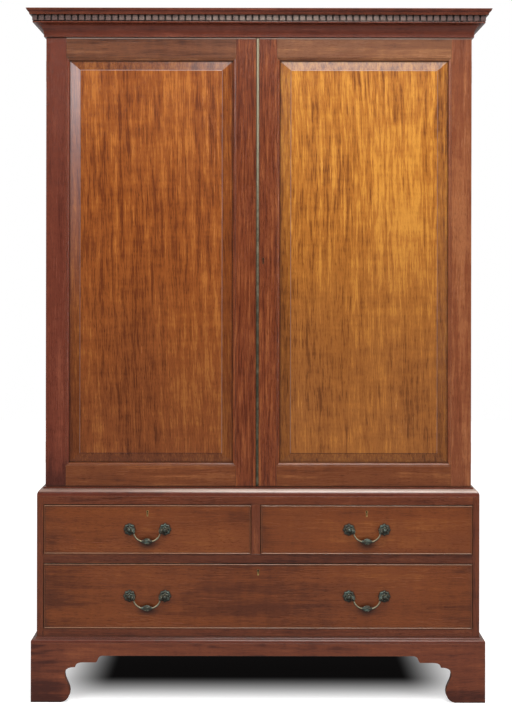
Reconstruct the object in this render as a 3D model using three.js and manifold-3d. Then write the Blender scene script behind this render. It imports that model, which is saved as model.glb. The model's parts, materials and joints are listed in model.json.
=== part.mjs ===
// A mahogany linen press. The upper case has two fielded doors, three linen trays and a dentil cornice.
// The lower case has two short drawers over a long one, and stands on a plinth with bracket feet.
// Millimetres, +Z up. The front faces -Y. The back of both cases is Y = 0 until the whole is centred.
import * as THREE from 'three';
import { mergeVertices } from 'three/addons/utils/BufferGeometryUtils.js';
import Module from 'manifold-3d';

const wasm = await Module();
wasm.setup();

// Fits and overruns
const glueLine = 0.3;
const cutOverrun = 5;
const weldDistance = 0.0005;

// The two cases
const upperWidth = 1290;
const upperCaseDepth = 534;
const caseStep = 23;
const centreOffset = -7;
const sideThickness = 20;
const boardThickness = 22;
const backThickness = 12;
const backRabbet = 10;
const backBoardCount = 6;
const backGroove = 2.5;

// Heights of the lower case, from the floor up
const plinthHeight = 178;
const bottomRailHeight = 41;
const longOpeningHeight = 197;
const middleRailHeight = 28;
const shortOpeningHeight = 149;
const lowerTopThickness = 25;
const waistHeight = 26;

// Boards between the drawers
const railDepth = 55;
const dustboardThickness = 10;
const bottomBoardThickness = 14;
const uprightWidth = 28;
const uprightDepth = 40;
const guideHeight = 18;

// Plinth with bracket feet
const plinthStep = 16;
const plinthThickness = 26;
const apronClearance = 140;
const bracketReach = 215;
const bracketSteps = 5;
const bracketShares = {
  floor: [0.42, 0],
  bulge: [[0.49, 0.01], [0.55, 0.1], [0.55, 0.235]],
  waist: [[0.55, 0.38], [0.475, 0.48], [0.475, 0.61]],
  cusp: [[0.475, 0.71], [0.52, 0.755], [0.62, 0.755]],
  notch: [0.628, 0.79],
  shoulder: [[0.64, 0.84], [0.68, 0.857], [0.735, 0.857]],
  shelf: [0.91, 0.857],
  apron: [[0.945, 0.87], [0.93, 1], [1, 1]],
};

// Base and waist mouldings
const baseMouldingHeight = 17;
const baseFilletOut = 2.5;
const baseFilletHeight = 2;
const baseToeHeight = 4;
const waistFilletOut = 6.5;
const waistFilletHeight = 3;
const waistBreakOut = 17;
const waistBreakDrop = 14;
const waistToeHeight = 3;
const curveSteps = 5;

// Cornice
const corniceHeight = 81;
const corniceProjection = 55;
const corniceFootOut = 6.5;
const corniceFootHeight = 8;
const coveOut = 34;
const coveRise = 31.5;
const bedFilletOut = 37;
const bedFilletHeight = 3.7;
const dentilGroundOut = 28;
const dentilGroundHeight = 20;
const coronaOut = 46;
const coronaHeight = 4.5;
const coronaStep = 1.2;
const topFilletHeight = 2.5;
const corniceBoardThickness = 20;
const corniceBoardHeight = 66;

// Dentil course
const dentilHeight = 17;
const dentilBacking = 2.7;
const dentilDepth = 7;
const dentilWidth = 14.8;
const dentilPitch = 20.2;

// Doors
const doorHeight = 1360;
const doorThickness = 25;
const doorBackGap = 1;
const doorEndClearance = 1.5;
const doorMeetingGap = 2;
const stileWidth = 61;
const topRailWidth = 60;
const bottomRailWidth = 62;
const ovoloWidth = 10;
const ovoloDepth = 9;
const quirkDepth = 1.2;
const grooveWidth = 6;
const grooveDepth = 8;
const tongueReach = 6;
const bevelSide = 32;
const bevelEnd = 28;
const fieldDepth = 1.5;
const fieldStep = 1.4;
const fieldStepWidth = 0.8;

// Brass strip on the meeting edge of the right door
const stripWidth = 7;
const stripProud = 2.6;
const stripOverhang = 0.6;
const stripEndMargin = 2;

// Keyholes
const keyholeRadius = 2.8;
const keyholeSlotWidth = 2.8;
const keyholeDrop = 11;
const keyholeDepth = 14;
const doorKeyholeHeight = 690;
const doorKeyholeInset = 20;
const drawerKeyholeDrop = 21;

// Butt hinges
const hingeLength = 64;
const hingeFromEnd = 100;
const leafWidth = 17;
const leafThickness = 2;
const leafGap = 0.3;
const knuckleRadius = 3;
const knuckleCount = 5;
const hingePinRadius = 1.2;
const hingeAxisOut = 0.6;
const roundSides = 12;

// Linen trays, whose floors run in grooves in the sides
const trayCount = 3;
const trayWallThickness = 12;
const trayFloorThickness = 8;
const traySideHeight = 130;
const trayFrontHeight = 78;
const traySlope = 110;
const trayClearance = 2;
const traySetback = 14;
const trayLip = 8;
const trayGrooveSlack = 1.2;
const lowestTrayRise = 142;

// Drawers
const drawerFrontThickness = 20;
const drawerSideGap = 1.5;
const drawerTopGap = 2;
const drawerWallThickness = 11;
const drawerFloorThickness = 8;
const drawerBoxDrop = 6;
const drawerBackSpace = 25;
const beadWidth = 3.2;
const beadProud = 2.6;
const beadSteps = 4;

// Handles
const handleCentres = 107;
const handleAxisOut = 20;
const handleHeadRadius = 6;
const headSteps = 5;
const rosetteRadius = 17;
const rosetteThickness = 4.5;
const rosettePetals = 8;
const rosetteScallopShare = 0.14;
const rosetteRiseShares = [[1, 0], [1, 0.35], [0.72, 0.9], [0.42, 1], [0.3, 0.7]];
const postRadius = 4;
const boltRadius = 2.4;
const nutRadius = 6;
const nutThickness = 3.5;
const bailRodRadius = 2.3;
const bailDrop = 35;
const bailEndReach = 4;
const bailPinStub = 11;
const knopLength = 26;
const knopRadius = 8;
const bailSteps = 22;
const bailSides = 7;
const bailShares = [[1, 0.08], [0.93, 0.34], [0.7, 0.72], [0.4, 0.94], [0.14, 1]];

// Levels and planes worked out from the sizes above
const longOpeningBottom = plinthHeight + bottomRailHeight;
const longOpeningTop = longOpeningBottom + longOpeningHeight;
const shortOpeningBottom = longOpeningTop + middleRailHeight;
const shortOpeningTop = shortOpeningBottom + shortOpeningHeight;
const lowerCaseTop = shortOpeningTop + lowerTopThickness;
const doorBottom = lowerCaseTop + waistHeight + doorEndClearance;
const corniceBottom = doorBottom + doorHeight + doorEndClearance;
const upperHalf = upperWidth / 2;
const lowerHalf = upperHalf + caseStep;
const upperInnerHalf = upperHalf - sideThickness;
const lowerInnerHalf = lowerHalf - sideThickness;
const upperCaseFront = -upperCaseDepth;
const doorFace = upperCaseFront - doorBackGap - doorThickness;
const lowerFront = doorFace - caseStep;
const plinthFront = lowerFront - plinthStep;
const plinthHalf = lowerHalf + plinthStep;
const boardBack = -(backThickness + 2 * glueLine);
const handleFront = lowerFront - handleAxisOut - Math.max(handleHeadRadius, knopRadius);
const foremost = Math.min(doorFace - corniceProjection, plinthFront, handleFront);

// Finishes
const frameMahogany = { color: 0x6e3a26, roughness: 0.38, metalness: 0 };
const panelMahogany = { color: 0xa86a2e, roughness: 0.3, metalness: 0 };
const drawerMahogany = { color: 0x7c4322, roughness: 0.34, metalness: 0 };
const mouldingMahogany = { color: 0x5e3326, roughness: 0.42, metalness: 0 };
const carcasePine = { color: 0xb08a5c, roughness: 0.75, metalness: 0 };
const trayOak = { color: 0xa47a4a, roughness: 0.6, metalness: 0 };
const agedBrass = { color: 0x8a835f, roughness: 0.42, metalness: 0.85 };
const darkBronze = { color: 0x4a4636, roughness: 0.45, metalness: 0.85 };

// Solid operations
function toSolid(geometry) {
  const bare = geometry.clone();
  bare.deleteAttribute('normal');
  bare.deleteAttribute('uv');
  const welded = mergeVertices(bare, weldDistance);
  const corners = welded.index.array;
  const kept = [];
  for (let i = 0; i < corners.length; i += 3) {
    const [a, b, c] = corners.slice(i, i + 3);
    if (a !== b && b !== c && c !== a) kept.push(a, b, c);
  }
  const closed = new wasm.Mesh({
    numProp: 3,
    vertProperties: new Float32Array(welded.attributes.position.array),
    triVerts: new Uint32Array(kept),
  });
  closed.merge();
  return new wasm.Manifold(closed);
}

function toGeometry(solid) {
  const result = solid.getMesh();
  const geometry = new THREE.BufferGeometry();
  geometry.setAttribute('position', new THREE.BufferAttribute(result.vertProperties, result.numProp));
  geometry.setIndex(new THREE.BufferAttribute(result.triVerts, 1));
  geometry.computeVertexNormals();
  return geometry;
}

function cut(geometry, tools) {
  return toGeometry(tools.reduce((solid, tool) => solid.subtract(toSolid(tool)), toSolid(geometry)));
}

function join(geometries) {
  const [first, ...rest] = geometries.map(toSolid);
  return toGeometry(rest.reduce((solid, other) => solid.add(other), first));
}

function common(geometryA, geometryB) {
  return toGeometry(toSolid(geometryA).intersect(toSolid(geometryB)));
}

// Shapes
function block([x0, x1], [y0, y1], [z0, z1]) {
  const box = new THREE.BoxGeometry(Math.abs(x1 - x0), Math.abs(y1 - y0), Math.abs(z1 - z0));
  return box.translate((x0 + x1) / 2, (y0 + y1) / 2, (z0 + z1) / 2);
}

function extrude(points, length) {
  const outline = new THREE.Shape(points.map(([a, b]) => new THREE.Vector2(a, b)));
  return new THREE.ExtrudeGeometry(outline, { depth: length, bevelEnabled: false });
}

// A plan outline of [x, y] points, extruded upwards from z.
function extrudeUp(points, height, z) {
  return extrude(points, height).translate(0, 0, z);
}

// A section of [y, z] points, extruded to the right from x.
function extrudeAcross(points, length, x) {
  const turn = new THREE.Matrix4().makeBasis(
    new THREE.Vector3(0, 1, 0),
    new THREE.Vector3(0, 0, 1),
    new THREE.Vector3(1, 0, 0),
  );
  return extrude(points, length).applyMatrix4(turn).translate(x, 0, 0);
}

// A front outline of [x, z] points, extruded backwards from y.
function extrudeBack(points, thickness, y) {
  return extrude(points, thickness).rotateX(Math.PI / 2).translate(0, y + thickness, 0);
}

function cylinderAlongZ(radius, [z0, z1], x = 0, y = 0) {
  const cylinder = new THREE.CylinderGeometry(radius, radius, z1 - z0, roundSides);
  return cylinder.rotateX(Math.PI / 2).translate(x, y, (z0 + z1) / 2);
}

function cylinderAlongX(radius, [x0, x1], y, z) {
  const cylinder = new THREE.CylinderGeometry(radius, radius, x1 - x0, roundSides);
  return cylinder.rotateZ(Math.PI / 2).translate((x0 + x1) / 2, y, z);
}

function cylinderAlongY(radius, [y0, y1], x, z) {
  const cylinder = new THREE.CylinderGeometry(radius, radius, y1 - y0, roundSides);
  return cylinder.translate(x, (y0 + y1) / 2, z);
}

// Points of a quarter ellipse from one corner to another, hollow or round as seen from outside.
function quarterCurve([a0, b0], [a1, b1], startsAlongB) {
  return Array.from({ length: curveSteps + 1 }, (_, i) => {
    const turn = (i / curveSteps) * (Math.PI / 2);
    const along = Math.sin(turn);
    const across = 1 - Math.cos(turn);
    return startsAlongB
      ? [a0 + (a1 - a0) * across, b0 + (b1 - b0) * along]
      : [a0 + (a1 - a0) * along, b0 + (b1 - b0) * across];
  });
}

// A closed body from rings of points, each ring joined to the next, with a flat cap at both ends.
function ringBody(rings, capTriangles) {
  const count = rings[0].length;
  const last = rings.length - 1;
  const positions = rings.flat(2);
  const faces = [];
  for (let ring = 0; ring < last; ring += 1) {
    for (let i = 0; i < count; i += 1) {
      const next = (i + 1) % count;
      const [a, b] = [ring * count + i, ring * count + next];
      faces.push(a, b, b + count, a, b + count, a + count);
    }
  }
  for (const [a, b, c] of capTriangles) {
    faces.push(c, b, a, last * count + a, last * count + b, last * count + c);
  }
  const geometry = new THREE.BufferGeometry();
  geometry.setAttribute('position', new THREE.Float32BufferAttribute(positions, 3));
  geometry.setIndex(faces);
  geometry.computeVertexNormals();
  return geometry;
}

// A solid of rectangles one in front of another. Each ring has an inset from the sides and ends, and a y.
function stackedRectangles([x0, x1], [z0, z1], rings) {
  const corners = rings.map(({ side, end, y }) => [
    [x0 + side, y, z0 + end],
    [x1 - side, y, z0 + end],
    [x1 - side, y, z1 - end],
    [x0 + side, y, z1 - end],
  ]);
  return ringBody(corners, [[0, 1, 2], [0, 2, 3]]);
}

// A moulding round the front and both sides of a case, with mitred corners. The section's points are
// [out from the side, height, out from the front], and the last is left out where it equals the first.
function wrapMoulding(section, half, front, z) {
  const rings = [[-1, 0], [-1, 1], [1, 1], [1, 0]].map(([hand, atFront]) =>
    section.map(([outSide, up, outFront = outSide]) => [
      hand * (half + outSide),
      atFront * (front - outFront),
      z + up,
    ]));
  const outline = section.map(([outSide, up]) => new THREE.Vector2(outSide, up));
  const caps = THREE.ShapeUtils.triangulateShape(outline, []);
  return ringBody(rings.reverse(), caps);
}

function mesh(name, geometry, finish) {
  const piece = new THREE.Mesh(geometry, new THREE.MeshStandardMaterial(finish));
  piece.name = name;
  return piece;
}

// Cornice
function corniceSection() {
  const coveTop = corniceFootHeight + coveRise;
  const groundBottom = coveTop + bedFilletHeight;
  const groundTop = groundBottom + dentilGroundHeight;
  const cymaBottom = groundTop + coronaHeight;
  const cymaTop = corniceHeight - topFilletHeight;
  const cymaMiddle = [(coronaOut + corniceProjection) / 2, (cymaBottom + cymaTop) / 2];
  const inner = doorFace - upperCaseFront + glueLine;
  return [
    [glueLine, 0, inner],
    [corniceFootOut, 0],
    ...quarterCurve([corniceFootOut, corniceFootHeight], [coveOut, coveTop], true),
    [bedFilletOut, coveTop],
    [bedFilletOut, groundBottom],
    [dentilGroundOut, groundBottom],
    [dentilGroundOut, groundTop],
    [coronaOut, groundTop],
    [coronaOut, cymaBottom],
    ...quarterCurve([coronaOut + coronaStep, cymaBottom], cymaMiddle, true),
    ...quarterCurve(cymaMiddle, [corniceProjection - coronaStep, cymaTop], false).slice(1),
    [corniceProjection, cymaTop],
    [corniceProjection, corniceHeight],
    [glueLine, corniceHeight, inner],
  ];
}

function corniceMoulding() {
  const geometry = wrapMoulding(corniceSection(), upperHalf, doorFace, corniceBottom);
  return mesh('cornice_moulding', geometry, mouldingMahogany);
}

// One straight run of the dentil course, as [along, out] points between two corners.
function dentilRun(length) {
  const pitches = Math.round((length - dentilWidth) / dentilPitch);
  const pitch = (length - dentilWidth) / pitches;
  const points = [];
  for (let i = 0; i <= pitches; i += 1) {
    const start = i * pitch;
    points.push([start, dentilBacking], [start, dentilBacking + dentilDepth]);
    points.push([start + dentilWidth, dentilBacking + dentilDepth], [start + dentilWidth, dentilBacking]);
  }
  return points;
}

function dentilStrip() {
  const face = dentilGroundOut + glueLine;
  const reach = face + dentilBacking + dentilDepth;
  const half = upperHalf + reach;
  const front = doorFace - reach;
  const sideRun = dentilRun(-front);
  const frontRun = dentilRun(2 * half);
  const out = (depth) => reach - face - depth;
  const left = sideRun.map(([along, depth]) => [-half + out(depth), -along]).slice(0, -2);
  const middle = frontRun.slice(2, -2).map(([along, depth]) => [-half + along, front + out(depth)]);
  const right = sideRun.map(([along, depth]) => [half - out(depth), -along]).slice(0, -2).reverse();
  const innerHalf = upperHalf + face;
  const innerFront = doorFace - face;
  const outline = [
    [-innerHalf, 0],
    ...left,
    [-half, front],
    ...middle,
    [half, front],
    ...right,
    [innerHalf, 0],
    [innerHalf, innerFront],
    [-innerHalf, innerFront],
  ];
  const top = corniceBottom + corniceFootHeight + coveRise + bedFilletHeight + dentilGroundHeight;
  const strip = extrudeUp(outline, dentilHeight, top - glueLine - dentilHeight);
  return mesh('dentil_strip', strip, mouldingMahogany);
}

function corniceFrame() {
  const bottom = corniceBottom + glueLine;
  const top = bottom + corniceBoardHeight;
  const well = upperHalf - corniceBoardThickness;
  const outer = block([-upperHalf, upperHalf], [upperCaseFront, 0], [bottom, top]);
  const hollow = block(
    [-well, well],
    [upperCaseFront + corniceBoardThickness, -corniceBoardThickness],
    [bottom - cutOverrun, top + cutOverrun],
  );
  return mesh('cornice_frame', cut(outer, [hollow]), carcasePine);
}

// Butt hinges. Each is built about its own pin axis, and the leaves run towards the middle of the press.
const leafBottom = -hingeLength / 2;
const knuckleHeight = hingeLength / knuckleCount;
const hingeAxisY = upperCaseFront - doorBackGap / 2;
const hingeHeights = [doorBottom + hingeFromEnd, doorBottom + doorHeight - hingeFromEnd];

function knuckleSpans(first, clearance) {
  const spans = [];
  for (let i = first; i < knuckleCount; i += 2) {
    const bottom = leafBottom + i * knuckleHeight;
    spans.push([bottom + clearance, bottom + knuckleHeight - clearance]);
  }
  return spans;
}

function leafPlate(towards, behind) {
  const near = (behind * leafGap) / 2;
  const far = near + behind * leafThickness;
  return block([0, towards * leafWidth], [near, far], [leafBottom, -leafBottom]);
}

function hingeLeaf(towards, behind, firstKnuckle) {
  const others = knuckleSpans(1 - firstKnuckle, -glueLine / 2);
  const own = knuckleSpans(firstKnuckle, glueLine / 2);
  const plate = cut(
    leafPlate(towards, behind),
    others.map((span) => cylinderAlongZ(knuckleRadius + glueLine, span)),
  );
  return join([plate, ...own.map((span) => cylinderAlongZ(knuckleRadius, span))]);
}

function caseLeaf(towards) {
  const pin = cylinderAlongZ(hingePinRadius, [leafBottom + glueLine, -leafBottom - glueLine]);
  return join([hingeLeaf(towards, 1, 0), pin]);
}

function doorLeaf(towards) {
  const boreEnd = cutOverrun - leafBottom;
  const bore = cylinderAlongZ(hingePinRadius + glueLine, [-boreEnd, boreEnd]);
  return cut(hingeLeaf(towards, -1, 1), [bore]);
}

function hingeNodes(side, towards) {
  const nodes = { fixed: [], moving: [] };
  hingeHeights.forEach((height, i) => {
    const level = i === 0 ? 'lower' : 'upper';
    const onCase = mesh(`${side}_${level}_hinge_case_leaf`, caseLeaf(towards), agedBrass);
    const onDoor = mesh(`${side}_${level}_hinge_door_leaf`, doorLeaf(towards), agedBrass);
    for (const leaf of [onCase, onDoor]) {
      leaf.position.set(-towards * (upperHalf + hingeAxisOut), hingeAxisY, height);
    }
    nodes.fixed.push(onCase);
    nodes.moving.push(onDoor);
  });
  return nodes;
}

// The recesses that both leaves and the knuckle need in the wood, in the press's own coordinates.
function hingeRecesses(towards) {
  const axisX = -towards * (upperHalf + hingeAxisOut);
  const reach = leafThickness + leafGap / 2 + glueLine;
  const across = [axisX, axisX + towards * (leafWidth + glueLine)];
  const depth = [hingeAxisY - reach, hingeAxisY + reach];
  return hingeHeights.flatMap((height) => {
    const span = [height + leafBottom - glueLine, height - leafBottom + glueLine];
    return [
      block(across, depth, span),
      cylinderAlongZ(knuckleRadius + 2 * glueLine, span, axisX, hingeAxisY),
    ];
  });
}

// Upper case
const upperInside = {
  bottom: lowerCaseTop + glueLine + boardThickness,
  top: corniceBottom - glueLine - boardThickness,
};
const traySpacing = (upperInside.top - upperInside.bottom - lowestTrayRise) / trayCount;

function grooveBottom(level) {
  return upperInside.bottom + lowestTrayRise + level * traySpacing;
}

// Plan of a side board, rabbeted at the back for the back boards.
function sidePlan(hand, half, front) {
  const inner = half - sideThickness;
  return [
    [half, front],
    [half, 0],
    [inner + backRabbet, 0],
    [inner + backRabbet, boardBack + glueLine],
    [inner, boardBack + glueLine],
    [inner, front],
  ].map(([x, y]) => [hand * x, y]);
}

function trayGroove(hand, level) {
  const bottom = grooveBottom(level);
  return block(
    [hand * (upperInnerHalf - cutOverrun), hand * (upperInnerHalf + trayLip + trayClearance)],
    [upperCaseFront - cutOverrun, cutOverrun],
    [bottom, bottom + trayFloorThickness + trayGrooveSlack],
  );
}

function upperSide(name, hand) {
  const bottom = lowerCaseTop + glueLine;
  const height = corniceBottom - glueLine - bottom;
  const board = extrudeUp(sidePlan(hand, upperHalf, upperCaseFront), height, bottom);
  const grooves = Array.from({ length: trayCount }, (_, level) => trayGroove(hand, level));
  return mesh(name, cut(board, [...grooves, ...hingeRecesses(-hand)]), frameMahogany);
}

function spanningBoard(name, innerHalf, front, [z0, z1], finish) {
  const width = innerHalf - glueLine;
  return mesh(name, block([-width, width], [front, boardBack], [z0, z1]), finish);
}

// Back boards laid edge to edge, with a V groove along each joint.
function grooveRow(innerHalf) {
  const half = innerHalf + backRabbet - glueLine;
  const pitch = (2 * half) / backBoardCount;
  const points = [];
  for (let i = 1; i < backBoardCount; i += 1) {
    const x = half - i * pitch;
    points.push([x + backGroove, 0], [x, -backGroove], [x - backGroove, 0]);
  }
  return [[-half, -backThickness], [half, -backThickness], [half, 0], ...points, [-half, 0]];
}

function backPanel(name, innerHalf, [z0, z1]) {
  return mesh(name, extrudeUp(grooveRow(innerHalf), z1 - z0, z0), carcasePine);
}

// A linen tray: four walls on a floor that reaches into the grooves, with sides sloping to a low front.
const trayFront = upperCaseFront + traySetback;

function linenTray(level) {
  const bottom = grooveBottom(level) + glueLine;
  const half = upperInnerHalf - trayClearance;
  const inner = half - trayWallThickness;
  const back = boardBack - trayClearance;
  const top = bottom + traySideHeight;
  const outer = block([-half, half], [trayFront, back], [bottom, top]);
  const hollow = block(
    [-inner, inner],
    [trayFront + trayWallThickness, back - trayWallThickness],
    [bottom + trayFloorThickness, top + cutOverrun],
  );
  const lip = bottom + trayFrontHeight;
  const shoulder = [trayFront + trayWallThickness, lip];
  const middle = [trayFront + trayWallThickness + traySlope / 2, (lip + top) / 2];
  const crest = [trayFront + trayWallThickness + traySlope, top];
  const slope = [
    [trayFront - cutOverrun, lip],
    ...quarterCurve(shoulder, middle, false),
    ...quarterCurve(middle, crest, true).slice(1),
    [crest[0], top + cutOverrun],
    [trayFront - cutOverrun, top + cutOverrun],
  ];
  const dip = extrudeAcross(slope, 2 * (half + cutOverrun), -half - cutOverrun);
  const floorHalf = upperInnerHalf + trayLip;
  const floor = block([-floorHalf, floorHalf], [trayFront, back], [bottom, bottom + trayFloorThickness]);
  return mesh(`linen_tray_${level + 1}`, join([cut(outer, [hollow, dip]), floor]), trayOak);
}

// Doors. Each is drawn from its hinge edge towards its meeting edge.
const meetingX = centreOffset;
const doors = {
  left: { hingeX: -upperHalf, towards: 1, width: upperHalf + meetingX - doorMeetingGap / 2 },
  right: { hingeX: upperHalf, towards: -1, width: upperHalf - meetingX - doorMeetingGap / 2 },
};
const grooveFront = ovoloDepth + glueLine;

// Section of a frame member as [across, depth]: flat face, quirk, ovolo, and a groove for the panel.
function frameSection(flatWidth) {
  const inner = flatWidth + ovoloWidth;
  const grooveBottom = inner - grooveDepth;
  const grooveBack = grooveFront + grooveWidth;
  return [
    [0, 0],
    [flatWidth, 0],
    ...quarterCurve([flatWidth, quirkDepth], [inner, ovoloDepth], false),
    [inner, grooveFront],
    [grooveBottom, grooveFront],
    [grooveBottom, grooveBack],
    [inner, grooveBack],
    [inner, doorThickness],
    [0, doorThickness],
  ];
}

// A front outline in door coordinates [along, up], cut through the whole thickness of the door.
function doorMask({ hingeX, towards }, outline) {
  const points = outline.map(([along, up]) => [hingeX + towards * along, doorBottom + up]);
  return extrudeBack(points, doorThickness + 2 * cutOverrun, doorFace - cutOverrun);
}

function stileGeometry(door, atMeeting) {
  const place = (across) => (atMeeting ? door.width - across : across);
  const plan = frameSection(stileWidth).map(([across, depth]) => [
    door.hingeX + door.towards * place(across),
    doorFace + depth,
  ]);
  const inner = stileWidth + ovoloWidth;
  const outline = [
    [0, 0],
    [stileWidth, 0],
    [stileWidth, bottomRailWidth],
    [inner, bottomRailWidth + ovoloWidth],
    [inner, doorHeight - topRailWidth - ovoloWidth],
    [stileWidth, doorHeight - topRailWidth],
    [stileWidth, doorHeight],
    [0, doorHeight],
  ].map(([across, up]) => [place(across), up]);
  return common(extrudeUp(plan, doorHeight, doorBottom), doorMask(door, outline));
}

function railGeometry(door, width, atTop) {
  const place = (across) => (atTop ? doorHeight - across : across);
  const section = frameSection(width).map(([across, depth]) => [
    doorFace + depth,
    doorBottom + place(across),
  ]);
  const start = stileWidth + glueLine;
  const outline = [
    [start, 0],
    [door.width - start, 0],
    [door.width - start, width],
    [door.width - start - ovoloWidth, width + ovoloWidth],
    [start + ovoloWidth, width + ovoloWidth],
    [start, width],
  ].map(([along, across]) => [along, place(across)]);
  const from = Math.min(door.hingeX, door.hingeX + door.towards * door.width);
  return common(extrudeAcross(section, door.width, from), doorMask(door, outline));
}

function doorPanel(door) {
  const edge = stileWidth + ovoloWidth - tongueReach;
  const xs = [door.hingeX + door.towards * edge, door.hingeX + door.towards * (door.width - edge)];
  const zs = [
    doorBottom + bottomRailWidth + ovoloWidth - tongueReach,
    doorBottom + doorHeight - topRailWidth - ovoloWidth + tongueReach,
  ];
  const tongueBack = doorFace + grooveFront + grooveWidth - glueLine;
  const tongueFront = doorFace + grooveFront + glueLine;
  const [side, end] = [tongueReach + bevelSide, tongueReach + bevelEnd];
  const field = doorFace + fieldDepth;
  return stackedRectangles([Math.min(...xs), Math.max(...xs)], zs, [
    { side: 0, end: 0, y: tongueBack },
    { side: 0, end: 0, y: tongueFront },
    { side: tongueReach, end: tongueReach, y: tongueFront },
    { side, end, y: field + fieldStep },
    { side: side + fieldStepWidth, end: end + fieldStepWidth, y: field },
  ]);
}

// A keyhole is a round eye over a slot, cut into the wood from its face.
function keyholeCut(x, face, z) {
  const slot = block(
    [x - keyholeSlotWidth / 2, x + keyholeSlotWidth / 2],
    [face - cutOverrun, face + keyholeDepth],
    [z - keyholeDrop, z],
  );
  return join([slot, cylinderAlongY(keyholeRadius, [face - cutOverrun, face + keyholeDepth], x, z)]);
}

function doorNodes(side) {
  const door = doors[side];
  const hingeStile = cut(stileGeometry(door, false), hingeRecesses(door.towards));
  const meetingStile = stileGeometry(door, true);
  const keyholeX = door.hingeX + door.towards * (door.width - doorKeyholeInset);
  const lockedStile = side === 'right'
    ? cut(meetingStile, [keyholeCut(keyholeX, doorFace, doorBottom + doorKeyholeHeight)])
    : meetingStile;
  return [
    mesh(`${side}_door_hinge_stile`, hingeStile, frameMahogany),
    mesh(`${side}_door_meeting_stile`, lockedStile, frameMahogany),
    mesh(`${side}_door_top_rail`, railGeometry(door, topRailWidth, true), frameMahogany),
    mesh(`${side}_door_bottom_rail`, railGeometry(door, bottomRailWidth, false), frameMahogany),
    mesh(`${side}_door_panel`, doorPanel(door), panelMahogany),
  ];
}

// A half-round brass strip, fixed to the right door and clear of the left one.
function doorStrip() {
  const left = meetingX + doorMeetingGap / 2 - stripOverhang;
  const middle = left + stripWidth / 2;
  const back = doorFace - glueLine;
  const plan = [
    [left + stripWidth, back],
    [left, back],
    ...quarterCurve([left, back - stripProud / 2], [middle, back - stripProud], true),
    ...quarterCurve([middle, back - stripProud], [left + stripWidth, back - stripProud / 2], false).slice(1),
  ];
  const height = doorHeight - 2 * stripEndMargin;
  return mesh('door_meeting_strip', extrudeUp(plan, height, doorBottom + stripEndMargin), agedBrass);
}

// Lower case
function waistMoulding() {
  const inner = doorFace - upperCaseFront + glueLine;
  const section = [
    [glueLine, 0, inner],
    [caseStep, 0],
    ...quarterCurve([caseStep, waistToeHeight], [waistBreakOut, waistHeight - waistBreakDrop], true),
    ...quarterCurve(
      [waistBreakOut, waistHeight - waistBreakDrop],
      [waistFilletOut, waistHeight - waistFilletHeight],
      true,
    ).slice(1),
    [waistFilletOut, waistHeight],
    [glueLine, waistHeight, inner],
  ];
  const moulding = wrapMoulding(section, upperHalf, doorFace, lowerCaseTop + glueLine);
  return mesh('waist_moulding', moulding, mouldingMahogany);
}

function baseMoulding() {
  const middle = [(plinthStep + baseFilletOut) / 2, (baseMouldingHeight + baseToeHeight) / 2];
  const section = [
    [glueLine, 0],
    [plinthStep, 0],
    ...quarterCurve([plinthStep, baseToeHeight], middle, true),
    ...quarterCurve(middle, [baseFilletOut, baseMouldingHeight - baseFilletHeight], false).slice(1),
    [baseFilletOut, baseMouldingHeight],
    [glueLine, baseMouldingHeight],
  ];
  const moulding = wrapMoulding(section, lowerHalf, lowerFront, plinthHeight + glueLine);
  return mesh('base_moulding', moulding, mouldingMahogany);
}

function lowerSide(name, hand) {
  const bottom = plinthHeight + glueLine;
  const board = extrudeUp(sidePlan(hand, lowerHalf, lowerFront), lowerCaseTop - bottom, bottom);
  return mesh(name, board, frameMahogany);
}

// A front rail with a thin board behind it, level with its top, which the drawers above slide on.
function railAndBoard(name, top, railHeight, boardHeight) {
  const half = lowerInnerHalf - glueLine;
  const section = [
    [lowerFront, top],
    [lowerFront, top - railHeight],
    [lowerFront + railDepth, top - railHeight],
    [lowerFront + railDepth, top - boardHeight],
    [boardBack, top - boardHeight],
    [boardBack, top],
  ];
  return mesh(name, extrudeAcross(section, 2 * half, -half), frameMahogany);
}

// The upright between the short drawers, with the guide behind it that keeps them straight.
const uprightLeft = centreOffset - uprightWidth / 2;
const uprightRight = centreOffset + uprightWidth / 2;

function centreUpright() {
  const bottom = shortOpeningBottom + glueLine;
  const section = [
    [lowerFront, bottom],
    [boardBack, bottom],
    [boardBack, bottom + guideHeight],
    [lowerFront + uprightDepth, bottom + guideHeight],
    [lowerFront + uprightDepth, shortOpeningTop - glueLine],
    [lowerFront, shortOpeningTop - glueLine],
  ];
  const upright = extrudeAcross(section, uprightWidth, uprightLeft);
  return mesh('centre_upright', upright, frameMahogany);
}

// Plinth boards
function bracketPoints(length) {
  const at = ([along, up]) => new THREE.Vector2(along * bracketReach, up * apronClearance);
  const path = new THREE.Path().moveTo(...at(bracketShares.floor));
  const curveTo = (controls) => path.bezierCurveTo(...controls.flatMap((point) => at(point).toArray()));
  curveTo(bracketShares.bulge);
  curveTo(bracketShares.waist);
  curveTo(bracketShares.cusp);
  path.lineTo(...at(bracketShares.notch));
  curveTo(bracketShares.shoulder);
  path.lineTo(...at(bracketShares.shelf));
  curveTo(bracketShares.apron);
  const foot = path.getPoints(bracketSteps).map(({ x, y }) => [x, y]);
  const farFoot = foot.map(([x, y]) => [length - x, y]).reverse();
  return [[0, 0], ...foot, ...farFoot, [length, 0], [length, plinthHeight], [0, plinthHeight]];
}

function plinthFrontBoard() {
  const outline = bracketPoints(2 * plinthHalf).map(([along, up]) => [along - plinthHalf, up]);
  const inner = plinthHalf - plinthThickness;
  const plan = [
    [-plinthHalf, plinthFront],
    [plinthHalf, plinthFront],
    [inner, plinthFront + plinthThickness],
    [-inner, plinthFront + plinthThickness],
  ];
  const board = extrudeBack(outline, plinthThickness, plinthFront);
  return mesh('plinth_front', common(board, extrudeUp(plan, plinthHeight, 0)), frameMahogany);
}

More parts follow.
